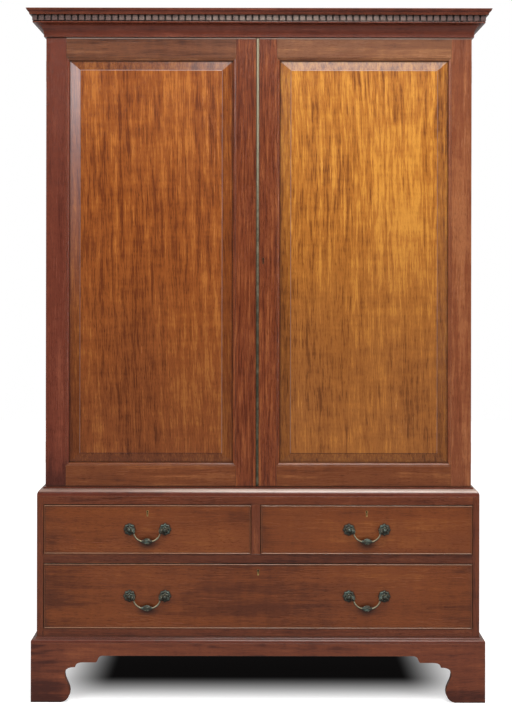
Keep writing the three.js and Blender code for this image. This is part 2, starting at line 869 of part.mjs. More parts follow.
function plinthSideBoard(name, hand) {
  const front = plinthFront + glueLine;
  const outline = bracketPoints(-front).map(([along, up]) => [front + along, up]);
  const inner = plinthHalf - plinthThickness;
  const plan = [
    [plinthHalf, front],
    [plinthHalf, 0],
    [inner, 0],
    [inner, front + plinthThickness],
  ].map(([x, y]) => [hand * x, y]);
  const from = hand > 0 ? inner : -plinthHalf;
  const board = extrudeAcross(outline, plinthThickness, from);
  return mesh(name, common(board, extrudeUp(plan, plinthHeight, 0)), frameMahogany);
}

// Drawers
const drawers = {
  left: { opening: [-lowerInnerHalf, uprightLeft], bottom: shortOpeningBottom, height: shortOpeningHeight },
  right: { opening: [uprightRight, lowerInnerHalf], bottom: shortOpeningBottom, height: shortOpeningHeight },
  long: { opening: [-lowerInnerHalf, lowerInnerHalf], bottom: longOpeningBottom, height: longOpeningHeight },
};
for (const drawer of Object.values(drawers)) {
  const [from, to] = drawer.opening;
  drawer.sides = [from + drawerSideGap, to - drawerSideGap];
  drawer.ends = [drawer.bottom + glueLine, drawer.bottom + drawer.height - drawerTopGap];
  drawer.middle = (from + to) / 2;
  drawer.handleHeight = drawer.bottom + drawer.height / 2;
}
drawers.left.handles = [drawers.left.middle];
drawers.right.handles = [drawers.right.middle];
drawers.long.handles = [drawers.left.middle, drawers.right.middle];

// A drawer front with a round cock bead standing proud all along its edge.
function drawerFront(name, drawer) {
  const bead = Array.from({ length: beadSteps + 1 }, (_, i) => {
    const turn = (i / beadSteps) * Math.PI;
    const inset = (beadWidth / 2) * (1 - Math.cos(turn));
    return { side: inset, end: inset, y: lowerFront - beadProud * Math.sin(turn) };
  });
  const back = lowerFront + drawerFrontThickness;
  const front = stackedRectangles(drawer.sides, drawer.ends, [{ side: 0, end: 0, y: back }, ...bead]);
  const keyhole = keyholeCut(drawer.middle, lowerFront, drawer.bottom + drawer.height - drawerKeyholeDrop);
  const boltHoles = drawer.handles.flatMap((middle) => [-1, 1].map((hand) => cylinderAlongY(
    boltRadius + glueLine,
    [lowerFront - cutOverrun, back + cutOverrun],
    middle + (hand * handleCentres) / 2,
    drawer.handleHeight,
  )));
  return mesh(name, cut(front, [keyhole, ...boltHoles]), drawerMahogany);
}

// Two sides, a back and a floor, closed in front by the drawer front.
function drawerBox(name, drawer) {
  const [from, to] = drawer.sides;
  const front = lowerFront + drawerFrontThickness + glueLine;
  const back = boardBack - drawerBackSpace;
  const [bottom, top] = [drawer.ends[0], drawer.ends[1] - drawerBoxDrop];
  const outer = block([from, to], [front, back], [bottom, top]);
  const hollow = block(
    [from + drawerWallThickness, to - drawerWallThickness],
    [front - cutOverrun, back - drawerWallThickness],
    [bottom + drawerFloorThickness, top + cutOverrun],
  );
  return mesh(name, cut(outer, [hollow]), trayOak);
}

// Handles. A post is a bolt with its nut, a lobed rosette on the wood and a round head that holds the bail.
function turned(profile, sides) {
  return new THREE.LatheGeometry(profile.map(([r, y]) => new THREE.Vector2(r, y)), sides);
}

function rosette() {
  const rim = rosetteRiseShares.map(([radiusShare, riseShare]) => [
    radiusShare * rosetteRadius,
    -glueLine - riseShare * rosetteThickness,
  ]);
  const profile = [[0, rim.at(-1)[1]], ...rim.reverse(), [0, -glueLine]];
  const body = turned(profile, 2 * rosettePetals);
  const position = body.attributes.position;
  for (let i = 0; i < position.count; i += 1) {
    const [x, y, z] = [position.getX(i), position.getY(i), position.getZ(i)];
    const dip = Math.abs(Math.sin((Math.atan2(x, z) * rosettePetals) / 2));
    const draw = 1 - rosetteScallopShare * dip;
    position.setXYZ(i, x * draw, y, z * draw);
  }
  return body;
}

function postCore() {
  const tip = handleAxisOut + handleHeadRadius;
  const head = Array.from({ length: headSteps }, (_, i) => {
    const turn = (i / headSteps) * Math.PI;
    return [handleHeadRadius * Math.sin(turn), -handleAxisOut - handleHeadRadius * Math.cos(turn)];
  });
  const nutFront = drawerFrontThickness + glueLine;
  return turned([
    [0, -tip],
    ...head.slice(1),
    [postRadius, -handleAxisOut + handleHeadRadius],
    [postRadius, -glueLine],
    [boltRadius, -glueLine],
    [boltRadius, nutFront],
    [nutRadius, nutFront],
    [nutRadius, nutFront + nutThickness],
    [0, nutFront + nutThickness],
  ], roundSides);
}

function handlePost() {
  const boreReach = handleHeadRadius + cutOverrun;
  const bore = cylinderAlongX(bailRodRadius + glueLine, [-boreReach, boreReach], -handleAxisOut, 0);
  return cut(join([postCore(), rosette()]), [bore]);
}

// A swan-necked bail, hanging from its ends, with a knop in the middle.
function handleBail() {
  const half = handleCentres / 2;
  const start = half + bailEndReach;
  const neck = half - bailPinStub;
  const side = bailShares.map(([across, down]) => [across * neck, -down * bailDrop]);
  const left = [[start, 0], [(start + neck) / 2, 0], [neck + bailRodRadius, 0], ...side];
  const points = [
    ...left.map(([x, z]) => new THREE.Vector3(-x, 0, z)),
    ...left.reverse().map(([x, z]) => new THREE.Vector3(x, 0, z)),
  ];
  const ring = Array.from({ length: bailSides }, (_, i) => {
    const turn = (i / bailSides) * 2 * Math.PI;
    return new THREE.Vector2(bailRodRadius * Math.cos(turn), bailRodRadius * Math.sin(turn));
  });
  const rod = new THREE.ExtrudeGeometry(new THREE.Shape(ring), {
    steps: bailSteps,
    extrudePath: new THREE.CatmullRomCurve3(points, false, 'centripetal'),
    bevelEnabled: false,
  });
  const knop = new THREE.SphereGeometry(knopRadius, roundSides, roundSides / 2)
    .rotateZ(Math.PI / 2)
    .scale(knopLength / 2 / knopRadius, 1, 1)
    .translate(0, 0, -bailDrop);
  return join([rod, knop]);
}

function drawerNodes(side) {
  const drawer = drawers[side];
  const nodes = [
    drawerFront(`${side}_drawer_front`, drawer),
    drawerBox(`${side}_drawer_box`, drawer),
  ];
  drawer.handles.forEach((middle, i) => {
    const which = i === 0 ? '_left' : '_right';
    const handle = `${side}_drawer${drawer.handles.length > 1 ? which : ''}`;
    for (const [post, hand] of [['left', -1], ['right', 1]]) {
      const piece = mesh(`${handle}_handle_post_${post}`, handlePost(), darkBronze);
      piece.position.set(middle + (hand * handleCentres) / 2, lowerFront, drawer.handleHeight);
      nodes.push(piece);
    }
    const bail = mesh(`${handle}_handle_bail`, handleBail(), darkBronze);
    bail.position.set(middle, lowerFront - handleAxisOut, drawer.handleHeight);
    nodes.push(bail);
  });
  return nodes;
}

// The whole press
const leftHinges = hingeNodes('left', 1);
const rightHinges = hingeNodes('right', -1);
const upperBoardFront = upperCaseFront + glueLine;
const upperTopEnds = [upperInside.top, corniceBottom - glueLine];
const upperBottomEnds = [lowerCaseTop + glueLine, upperInside.bottom];
const lowerTopEnds = [shortOpeningTop, lowerCaseTop];

const press = new THREE.Group();
press.add(
  corniceMoulding(),
  dentilStrip(),
  corniceFrame(),
  upperSide('upper_side_left', -1),
  upperSide('upper_side_right', 1),
  spanningBoard('upper_top', upperInnerHalf, upperBoardFront, upperTopEnds, carcasePine),
  spanningBoard('upper_bottom', upperInnerHalf, upperBoardFront, upperBottomEnds, trayOak),
  backPanel('upper_back', upperInnerHalf, [lowerCaseTop + glueLine, corniceBottom - glueLine]),
  ...Array.from({ length: trayCount }, (_, level) => linenTray(level)),
  ...leftHinges.fixed,
  ...rightHinges.fixed,
  waistMoulding(),
  spanningBoard('lower_top', lowerInnerHalf, lowerFront, lowerTopEnds, frameMahogany),
  lowerSide('lower_side_left', -1),
  lowerSide('lower_side_right', 1),
  railAndBoard('lower_bottom', longOpeningBottom, bottomRailHeight - glueLine, bottomBoardThickness),
  backPanel('lower_back', lowerInnerHalf, [plinthHeight + glueLine, lowerCaseTop]),
  railAndBoard('middle_rail', shortOpeningBottom, middleRailHeight, dustboardThickness),
  centreUpright(),
  baseMoulding(),
  plinthFrontBoard(),
  plinthSideBoard('plinth_left', -1),
  plinthSideBoard('plinth_right', 1),
);
press.add(...doorNodes('left'), ...leftHinges.moving);
press.add(...doorNodes('right'), ...rightHinges.moving, doorStrip());
press.add(...drawerNodes('left'), ...drawerNodes('right'), ...drawerNodes('long'));
press.position.y = -foremost / 2;

const group = new THREE.Group();
group.add(press);

export default group;
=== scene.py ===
"""A late Georgian linen press in mahogany: finishes, fittings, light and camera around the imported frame."""

import json
import math
import random
from collections import namedtuple

import bmesh
import bpy
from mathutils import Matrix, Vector

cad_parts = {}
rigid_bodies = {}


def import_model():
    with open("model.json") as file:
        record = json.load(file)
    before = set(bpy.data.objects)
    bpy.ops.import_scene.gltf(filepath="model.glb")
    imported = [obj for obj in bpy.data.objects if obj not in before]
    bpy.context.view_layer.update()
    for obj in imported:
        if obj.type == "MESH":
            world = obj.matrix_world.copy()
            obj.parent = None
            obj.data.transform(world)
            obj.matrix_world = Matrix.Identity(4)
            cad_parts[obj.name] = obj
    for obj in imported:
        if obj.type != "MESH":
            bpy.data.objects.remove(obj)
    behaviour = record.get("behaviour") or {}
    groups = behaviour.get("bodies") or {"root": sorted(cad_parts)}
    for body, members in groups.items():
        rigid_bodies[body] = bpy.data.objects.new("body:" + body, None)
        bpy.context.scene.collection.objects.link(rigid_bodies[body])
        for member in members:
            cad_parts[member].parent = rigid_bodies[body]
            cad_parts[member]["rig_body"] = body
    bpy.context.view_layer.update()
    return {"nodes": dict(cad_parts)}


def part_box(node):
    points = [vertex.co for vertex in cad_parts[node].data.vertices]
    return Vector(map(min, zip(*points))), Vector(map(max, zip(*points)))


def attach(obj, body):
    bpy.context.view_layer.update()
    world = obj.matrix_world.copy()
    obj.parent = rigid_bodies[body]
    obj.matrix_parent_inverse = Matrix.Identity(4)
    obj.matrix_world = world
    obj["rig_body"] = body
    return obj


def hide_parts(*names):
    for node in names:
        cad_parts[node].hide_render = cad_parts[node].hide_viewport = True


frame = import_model()

# Sizes are in metres, angles in degrees and colours in screen values from 0 to 255.
WELD = 0.000002
FLAT_ANGLE = 0.5
EDGE_ANGLE = 30
SMOOTH_ANGLE = 40
MITRE_ANGLE = 10
FLAT_WEIGHT = 90
EASED_EDGE = 0.0007
CRISP_EDGE = 0.0003
PANEL_ARRIS = 0.0006
GRAIN_START = 40
GRAIN_LAYERS = {"grain": "CORNER", "place": "CORNER", "facing": "FACE"}
PANEL_LEAN = 0.02
BACK_BOARDS = 6
HANDS = ("left", "right")
LEVELS = ("lower", "upper")
DOOR_RUNS = {"hinge_stile": "z", "meeting_stile": "z", "top_rail": "x", "bottom_rail": "x"}

# Mouldings. Each stretch runs to a point, in shares of the moulding's reach and rise, either straight
# or as a quarter curve that sets off upright or level.
GLUE_LINE = 0.0003
CURVE_STEPS = 12
CURVE_CREASE = 46
ARRIS = 0.0006
DOOR_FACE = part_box("left_door_hinge_stile")[0].y
LOWER_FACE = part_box("middle_rail")[0].y
DOOR_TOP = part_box("left_door_top_rail")[1].z
CORNICE_SHARES = (
    ("to", 0.118, 0), ("to", 0.118, 0.099), ("upright", 0.618, 0.488), ("to", 0.673, 0.488),
    ("to", 0.673, 0.533), ("to", 0.509, 0.533), ("to", 0.509, 0.78), ("to", 0.836, 0.78),
    ("to", 0.836, 0.836), ("to", 0.858, 0.836), ("upright", 0.918, 0.902), ("level", 0.978, 0.969),
    ("to", 1, 0.969), ("to", 1, 1),
)
WAIST_SHARES = (("to", 1, 0), ("to", 1, 0.1), ("upright", 0.32, 0.8), ("to", 0.28, 0.8), ("to", 0.28, 1))
BASE_SHARES = (
    ("to", 1, 0), ("to", 1, 0.235), ("upright", 0.578, 0.618), ("level", 0.156, 0.882), ("to", 0.156, 1),
)

# Keyholes and locks. A plate's or a case's size is its width, depth and height.
KEYHOLE_RADIUS = 0.0028
KEYHOLE_HALF_SLOT = 0.0014
KEYHOLE_DROP = 0.011
KEYHOLE_STEPS = 20
DRAWER_KEYHOLE_DROP = 0.019
DOOR_KEYHOLE_INSET = 0.02
DOOR_KEYHOLE_RISE = 0.69
ESCUTCHEON_LIP = 0.0009
ESCUTCHEON_PROUD = 0.0005
ESCUTCHEON_SINK = 0.004
ESCUTCHEON_WALL = 0.0003
ESCUTCHEON_TAIL = 0.003
LIP_ROUND_SHARE = 0.7
TAIL_ROUND_SHARE = 0.8
LOCK_PLATE = (0.064, 0.0012, 0.05)
LOCK_CASE = (0.046, 0.009, 0.034)
LOCK_BELOW_EDGE = 0.001
DOOR_LOCK_PLATE = (0.052, 0.0012, 0.076)
DOOR_LOCK_CASE = (0.04, 0.009, 0.056)
BOLT_PLATE = (0.016, 0.0006, 0.11)
BOLT_SLOT_KNOB = (0.008, 0.005, 0.008)
BOLT_FROM_EDGE = 0.03
PLATE_EDGE = 0.0002

# Screws, nails, dovetails and glue blocks. A head's size is its radius, twice, and its height.
SCREW_HEAD = (0.0026, 0.0026, 0.00012)
LOCK_SCREW_HEAD = (0.0026, 0.0026, 0.0007)
SCREW_SIDES = 16
SCREW_SLOT_SHARE = 0.13
HINGE_SCREW_SHARES = (0.14, 0.5, 0.86)
HINGE_SCREW_INSET = 0.0075
HINGE_LEAF_GAP = 0.0003
NAIL_HEAD = (0.0034, 0.0034, 0.0014)
NAIL_SIDES = 7
NAIL_HEAD_SHARES = ((1, 0), (0.95, 0.35), (0.6, 0.8), (0.0001, 1))
NAIL_FROM_END = 0.016
NAILS_A_BOARD = 12
TAIL_DEPTH = 0.014
TAIL_PROUD = 0.0002
TAIL_NARROW_SHARE = 0.7
TAIL_PITCH = 0.032
TAIL_WIDTH = 0.021
GLUE_BLOCK = 0.036
GLUE_BLOCK_CHAMFER = 0.012
GLUE_BLOCK_GAP = 0.0004
GLUE_BLOCK_END = 0.004
QUARTER_TURN = 90
FACING_FRONT = (QUARTER_TURN, 0, 0)
FACING_BACK = (-QUARTER_TURN, 0, 0)
HALF_TURN = 180
WHOLE_TURN = 360

# Drawers, each with its handles
HANDLES = {
    "left_drawer": ("left_drawer",),
    "right_drawer": ("right_drawer",),
    "long_drawer": ("long_drawer_left", "long_drawer_right"),
}

# Bails. The course runs from a post to the middle, in shares of the way across and of the drop.
BAIL_ROD = 0.0022
BAIL_SWELL = 0.0005
COLLAR_RADIUS = 0.0062
COLLAR_LENGTH = 0.017
COLLAR_FROM_POST = 0.0175
KNOP_LENGTH = 0.026
KNOP_RADIUS = 0.0096
KNOP_BEAD = 0.0048
KNOP_BEAD_LENGTH = 0.004
SWELL_FULLNESS = 2.4
SWELL_ROUNDNESS = 0.45
LEAF_LOBES = 6
LEAF_DEPTH_SHARE = 0.26
LEAF_TWIST_A_METRE = 90
BAIL_STEPS = 132
BAIL_SIDES = 20
BAIL_SPAN_STEPS = 24
BAIL_CREASE = 60
BAIL_END_REACH = 0.004
BAIL_NECK_INSET = 0.013
BAIL_COURSE_SHARES = ((1, 0.14), (0.94, 0.46), (0.78, 0.74), (0.54, 0.94), (0.32, 1))

# Handle posts. Each turning of the rosette has its radius and rise as shares of the rosette's and the
# post's, then its count of lobes and how deep they are cut.
ROSETTE_SHARE = 1.08
HEAD_SHARE = 0.24
ROSETTE_SHARES = (
    (((1, 0), (1.02, 0.05), (0.98, 0.13), (0.84, 0.21), (0.7, 0.23), (0.6, 0.19), (0.54, 0.12)), 8, 0.15),
    (((0.56, 0.1), (0.63, 0.22), (0.56, 0.32), (0.42, 0.35), (0.32, 0.3), (0.28, 0.2)), 6, 0.2),
    (((0.3, 0.12), (0.34, 0.22), (0.3, 0.3), (0.2, 0.36), (0.17, 0.44), (0.2, 0.5), (0.3, 0.56)), 0, 0),
)
ROSETTE_TURNS = 96
HEAD_SIDES = 28
HEAD_STEPS = 12
POST_CREASE = 50
NUT_SIDES = 6
NUT_RADIUS = 0.006
NUT_THICKNESS = 0.0035
BOLT_RADIUS = 0.0024

# Shades of the woods: dark, middle and light
RUDDY_SHADES = ((70, 28, 18), (97, 44, 29), (120, 62, 42))
FRAME_SHADES = ((71, 32, 15), (104, 54, 26), (130, 76, 40))
# The right top rail's shades are paler and greyer than the left's, with a painted sheen in them.
LEFT_RAIL_SHADES = ((66, 34, 20), (99, 58, 36), (127, 81, 51))
RIGHT_RAIL_SHADES = ((75, 40, 24), (109, 66, 40), (137, 90, 56))
BRIGHT_SHADES = ((84, 38, 20), (114, 60, 34), (140, 84, 50))
MEETING_SHADES = ((78, 32, 14), (106, 50, 24), (132, 72, 36))
CASE_SHADES = ((62, 27, 15), (95, 46, 25), (122, 66, 36))
MIDDLE_RAIL_SHADES = ((54, 23, 13), (83, 40, 22), (108, 58, 32))
MOULDING_SHADES = ((60, 25, 17), (92, 43, 29), (120, 64, 46))
DENTIL_SHADES = ((50, 26, 22), (74, 44, 38), (96, 66, 56))
PLINTH_SHADES = ((66, 28, 18), (102, 50, 29), (124, 66, 38))
DRAWER_SHADES = ((78, 36, 16), (108, 54, 22), (131, 73, 30))
RUDDY_HEAD = ((98, 46, 18), (132, 70, 26), (162, 96, 38))
RUDDY_FOOT = ((80, 38, 16), (112, 58, 26), (138, 82, 36))
BROWN_FOOT = ((96, 52, 22), (134, 80, 34), (160, 102, 42))
GOLDEN_HEAD = ((116, 64, 22), (160, 98, 34), (190, 128, 48))
OAK_SHADES = ((124, 90, 54), (160, 122, 78), (186, 150, 104))
PINE_SHADES = ((120, 80, 46), (168, 126, 80), (196, 158, 108))

# What lies on the woods: dusting, dirt and worn places, with the painted shade and painted highlights that go
# with them
WHITE = (255, 255, 255)
WOOD_GRIME_AND_SHADE = (24, 11, 8)
BAIL_SHADOW_AND_GRIME = (34, 16, 12)
DENTIL_GRIME_AND_SHADE = (20, 11, 9)
PORE_FILLING = (120, 90, 80)
RUBBED_EDGE = (160, 104, 70)
BEAD_HIGHLIGHT_AND_WEAR = (190, 156, 128)
DOOR_DUST_AND_HIGHLIGHT = (196, 172, 160)
MOULDING_DUST_AND_HIGHLIGHT = (186, 163, 150)
DENTIL_DUST_AND_HIGHLIGHT = (196, 182, 164)
LEFT_BEVEL_HIGHLIGHT = (190, 176, 186)
BEVEL_SHADE = (218, 210, 205)
TOP_BEVEL_SHADE = (196, 190, 188)
ARRIS_HIGHLIGHT = (176, 150, 136)
ARRIS_SHADE = (52, 24, 14)
WOOD_GRIME_AND_SHADE_REACH = 0.009
DENTIL_GRIME_AND_SHADE_REACH = 0.008
RUBBED_EDGE_REACH = 0.0014
DOOR_TOP_DUST_AND_HIGHLIGHT = 0.004
BAIL_SHADOW_WIDTH = 0.044
BAIL_SHADOW_HEIGHT = 0.026
BAIL_SHADOW_RISE = 0.003

# Shades of the metals. Brass has its bright, dull and tarnished shades.
BRASS_SHADES = ((204, 168, 100), (178, 148, 92), (120, 102, 66))
BROWN_BRASS_SHADES = ((120, 92, 66), (104, 78, 56), (70, 50, 36))
BRASS_GRIME_AND_SHADE = (44, 36, 22)
KEYHOLE_SHADE = (18, 12, 8)
STRIP_BRIGHT = (146, 136, 112)
STRIP_DARK = (58, 56, 42)
STRIP_GRIME_AND_SHADE = (30, 28, 20)
BRONZE_BROWN = (66, 66, 58)
BRONZE_GREEN = (84, 98, 90)
BRONZE_BARE_AND_HIGHLIGHT = (186, 172, 136)
BRONZE_GRIME_AND_SHADE = (20, 21, 18)
IRON_BLACK = (48, 44, 42)
IRON_RUST = (92, 58, 40)
BRASS_GRIME_AND_SHADE_REACH = 0.004
STRIP_GRIME_AND_SHADE_REACH = 0.003
STRIP_BRIGHT_HEIGHT = 1.95
STRIP_DARK_HEIGHT = 1
BRONZE_GRIME_AND_SHADE_REACH = 0.005
BRONZE_EDGE_REACH = 0.0011
BUMP_DEPTH = 0.0001
CRUST_DEPTH = 0.00012
RUST_DEPTH = 0.0002

# Camera and light
CAMERA_DISTANCE = 5
CAMERA_HEIGHT = 1.3
CAMERA_AIM_HEIGHT = 1.044
SENSOR_WIDTH = 36
CAMERA_LENS = 83.6
CAMERA_SIDE = -0.008
CAMERA_ROLL = -0.1
FLOOR_HALF = 9
FLOOR_GLOW = 0.8
FLOOR_WHITE = (228, 228, 228)
FLOOR_MIRRORED = (150, 150, 150)
FLOOR_PAINTED_SHADOW = (14, 13, 13)
MIRRORED_FLOOR = 0.1
# The painted shadow on the floor under the press: its half width, soft side, and front and back fades
SHADE_HALF_WIDTH = 0.7
SHADE_SOFT_SIDE = 0.24
SHADE_FRONT = (-0.32, 0.03)
SHADE_BACK = (0.3, 0.4)
AMBIENT = 0.6

# Softboxes: name, place, what they aim at, size and power
SOFTBOXES = (
    ("upper softbox", (0.5, -3.1, 4), (0.3, 0, 1.3), (1.6, 1.7), 58),
    ("overhead softbox", (0.4, -1.5, 3.5), (0.2, -0.3, 0.6), (1.3, 1), 33),
    ("left softbox", (-2.6, -3.7, 2.85), (0, 0, 1.2), (1.4, 1.5), 56),
    ("lens softbox", (0.55, -5.3, 3.25), (0.3, 0, 2), (1.5, 0.8), 14),
    ("right strip", (2.9, -3, 1.8), (0.2, 0, 1.2), (0.2, 2.2), 20),
)

# Patterns in the wood: changes in a metre across and along the grain, detail, roughness and contrast.
# The stripes and the flecks are counted in their finish's own pitch across the grain.
Pattern = namedtuple("Pattern", "across along detail roughness contrast")
SWAY = Pattern(1.7, 0.9, 1, 0.5, 0.05)
RIPPLE = Pattern(16, 5, 2, 0.5, 0.009)
PORES = Pattern(1500, 70, 1, 0.5, 1)
HANDLING = Pattern(5, 3, 3, 0.5, 0.14)
DUST_AND_HIGHLIGHT_PATCHES = Pattern(40, 8, 3, 0.5, 1)
DENTIL_PATCHES = Pattern(70, 70, 2, 0.5, 1)
LAYERS = {
    "Stripes": Pattern(1, 1.7, 2, 0.55, 2.4),
    "Flecks": Pattern(2.3, 10, 2, 0.6, 2.2),
    "Ticks": Pattern(360, 17, 2, 0.5, 1),
    "Mottle": Pattern(12, 34, 2, 0.6, 1.6),
    "Clouds": Pattern(3.4, 1.4, 2, 0.5, 2),
}

Finish = namedtuple("Finish", "material slot")
tree_in_hand = None


def shade(red, green, blue):
    """A screen colour as the linear colour that the shaders take."""
    def linear(part):
        level = part / 255
        return level / 12.92 if level <= 0.04045 else ((level + 0.055) / 1.055) ** 2.4
    return (linear(red), linear(green), linear(blue), 1)


def open_tree(tree):
    """Empties a node tree and takes it in hand, so that nodes are added to it."""
    global tree_in_hand
    tree.nodes.clear()
    tree_in_hand = tree


def add(kind, inputs=None, **settings):
    node = tree_in_hand.nodes.new(kind)
    for name, value in settings.items():
        setattr(node, name, value)
    for name, value in (inputs or {}).items():
        feed(node.inputs[name], value)
    return node


def feed(socket, value):
    if isinstance(value, bpy.types.NodeSocket):
        tree_in_hand.links.new(value, socket)
    else:
        socket.default_value = value


def result(kind, inputs=None, output=0, **settings):
    return add(kind, inputs, **settings).outputs[output]


def maths(operation, first, second=0):
    return result("ShaderNodeMath", {0: first, 1: second}, operation=operation)


def vectors(operation, first, second, output="Vector"):
    return result("ShaderNodeVectorMath", {0: first, 1: second}, output, operation=operation)


def total(first, *others):
    for other in others:
        first = maths("ADD", first, other)
    return first


def times(first, *others):
    for other in others:
        first = maths("MULTIPLY", first, other)
    return first


def swing(value, strength):
    """A value from 0 to 1 as a swing either side of nought."""
    return times(maths("SUBTRACT", value, 0.5), strength)


def away_from(value, middle):
    return maths("ABSOLUTE", maths("SUBTRACT", value, middle))


def noise(vector, detail=2, roughness=0.5, scale=1):
    inputs = {"Vector": vector, "Scale": scale, "Detail": detail, "Roughness": roughness}
    return result("ShaderNodeTexNoise", inputs)


def pattern(vector, kind, pitch=1):
    """A noise drawn out along the grain."""
    across = times(kind.across, pitch)
    pace = result("ShaderNodeCombineXYZ", {"X": across, "Y": across, "Z": kind.along})
    return noise(vectors("MULTIPLY", vector, pace), kind.detail, kind.roughness)


def between(value, low, high, start=0, end=1):
    inputs = {"Value": value, "From Min": low, "From Max": high, "To Min": start, "To Max": end}
    return result("ShaderNodeMapRange", inputs, interpolation_type="SMOOTHSTEP")


def blend(share, first, second, how="MIX"):
    inputs = {0: share, 6: first, 7: second}
    return result("ShaderNodeMix", inputs, 2, data_type="RGBA", blend_type=how)


def lay(under, colour, cover, most=1):
    """A screen colour laid over another as thickly as its cover says."""
    return blend(times(cover, most), under, shade(*colour))


def attribute(name, output="Vector"):
    return result("ShaderNodeAttribute", None, output, attribute_name=name)


def spot(output="Object"):
    """Where a point lies in the press, or with "Normal" where it faces."""
    return result("ShaderNodeTexCoord", None, output)


def split(vector):
    return add("ShaderNodeSeparateXYZ", {0: vector}).outputs


def parts_of(name):
    """The X, Y and Z of an attribute."""
    return split(attribute(name))


def hollow(reach):
    """From 0 in open air to 1 deep in a corner or a gap, where the finishes paint dirt and shade."""
    open_air = result("ShaderNodeAmbientOcclusion", {"Distance": reach}, "AO", samples=6)
    return between(open_air, 0.35, 0.95, 1, 0)


def outer_edge(radius):
    """1 along an outer edge and 0 on the flat."""
    soft = result("ShaderNodeBevel", {"Radius": radius}, samples=4)
    flat = result("ShaderNodeNewGeometry", None, "Normal")
    return between(vectors("DOT_PRODUCT", soft, flat, "Value"), 0.9, 0.995, 1, 0)


def new_group(name, kind, given, made):
    """A group with its sockets, taken in hand, and what comes into it."""
    tree = bpy.data.node_groups.new(name, kind)
    for way, sockets in (("INPUT", given), ("OUTPUT", made)):
        for socket, value_kind in sockets.items():
            tree.interface.new_socket(socket, in_out=way, socket_type=f"NodeSocket{value_kind}")
    open_tree(tree)
    return tree, add("NodeGroupInput").outputs


def new_finish(name, slot):
    """A finish whose empty material is taken in hand."""
    material = bpy.data.materials.new(name)
    material.use_nodes = True
    open_tree(material.node_tree)
    return Finish(material, slot)


def close_finish(colour, roughness, height, depth=BUMP_DEPTH, **plain):
    """Ends a finish in its shader. Even values go on the shader's own sockets."""
    bump = result("ShaderNodeBump", {"Height": height, "Distance": depth, "Strength": 1})
    shader = add("ShaderNodeBsdfPrincipled", {"Base Color": colour, "Roughness": roughness, "Normal": bump})
    for name, value in plain.items():
        shader.inputs[name.replace("_", " ")].default_value = value
    add("ShaderNodeOutputMaterial", {"Surface": shader.outputs[0]})


def wood_figure():
    """The group that draws all the wood, from where a point lies in its board."""
    sockets = dict.fromkeys(("Dark", "Middle", "Light"), "Color")
    sockets.update(dict.fromkeys((*LAYERS, "Per metre", "Balance", "Pores"), "Float"))
    made = {"Colour": "Color", "Height": "Float"}
    tree, given = new_group("wood figure", "ShaderNodeTree", sockets, made)
    grain = attribute("grain")
    shift = total(*[swing(pattern(grain, wave), wave.contrast) for wave in (SWAY, RIPPLE)])
    shifted = result("ShaderNodeCombineXYZ", {"X": shift, "Y": shift})
    laid = vectors("ADD", grain, shifted)
    noises = {}
    swings = []
    for name, layer in LAYERS.items():
        pitch = given["Per metre"] if name in ("Stripes", "Flecks") else 1
        noises[name] = pattern(laid, layer, pitch)
        swings.append(times(swing(noises[name], layer.contrast), given[name]))
    tone = total(0.5, *swings, given["Balance"])
    pores = between(pattern(grain, PORES), 0.58, 0.7)
    darker = blend(between(tone, 0.05, 0.5), given["Dark"], given["Middle"])
    wood = blend(between(tone, 0.5, 0.95), darker, given["Light"])
    filled = blend(1, wood, shade(*PORE_FILLING), how="MULTIPLY")
    pored = blend(times(pores, given["Pores"]), wood, filled)
    ridges = total(swing(noises["Ticks"], 0.6), swing(noises["Stripes"], 0.4))
    height = total(ridges, times(pores, -0.5))
    add("NodeGroupOutput", {"Colour": pored, "Height": height})
    return tree


FIGURE = wood_figure()


def figured(shades, stripes, flecks, pitch, mottle=0.3, clouds=0.3, balance=0, pores=0.6, ticks=0.6):
    """Adds the wood figure. Its dark, middle and light are screen colours or blends."""
    node = add("ShaderNodeGroup", node_tree=FIGURE)
    colours = [shade(*colour) if isinstance(colour, tuple) else colour for colour in shades]
    values = (*colours, stripes, flecks, ticks, mottle, clouds, pitch, balance, pores)
    for socket, value in zip(node.inputs, values):
        feed(socket, value)
    return node.outputs["Colour"], node.outputs["Height"]


def polished(colour, height, polish=0.3, grime_and_shade=0.8, rub=0.3, coat=0.2):
    """Wax and age: dirt and painted shade in the hollows, worn edges and an uneven polish."""
    # Painted shade with dirt: darker in hollows, corners and the gaps between parts.
    grime_and_shade_mask = times(hollow(WOOD_GRIME_AND_SHADE_REACH), grime_and_shade)
    grimed_and_shaded = lay(colour, WOOD_GRIME_AND_SHADE, grime_and_shade_mask)
    worn = lay(grimed_and_shaded, RUBBED_EDGE, outer_edge(RUBBED_EDGE_REACH), rub)
    handled = swing(pattern(attribute("grain"), HANDLING), HANDLING.contrast)
    roughness = total(polish, handled, swing(height, 0.06), times(grime_and_shade_mask, 0.3))
    shine = {"Coat_Weight": coat, "Coat_Roughness": 0.12, "Specular_IOR_Level": 0.32}
    close_finish(worn, roughness, height, **shine)


def mahogany(name, shades, stripes=0.5, flecks=0.3, pitch=46, mottle=0.25, clouds=0.35, foot_darkening=0, dusty=0):
    """A mahogany in its own shades, if need be darker at its foot, or with a dusting and a painted highlight
    along the doors' top.
    """
    finish = new_finish(f"{name} mahogany", "frame_mahogany")
    # Darker toward the foot of the piece.
    foot = between(parts_of("place")["Z"], 0, 0.1, -foot_darkening, 0)
    wood, height = figured(shades, stripes, flecks, pitch, mottle, clouds, foot)
    # A dusting with a painted highlight along the doors' top edge.
    rise = split(spot())["Z"]
    dust = between(rise, DOOR_TOP - DOOR_TOP_DUST_AND_HIGHLIGHT, DOOR_TOP - DOOR_TOP_DUST_AND_HIGHLIGHT / 2, 0, dusty)
    polished(lay(wood, DOOR_DUST_AND_HIGHLIGHT, dust), height)
    return finish


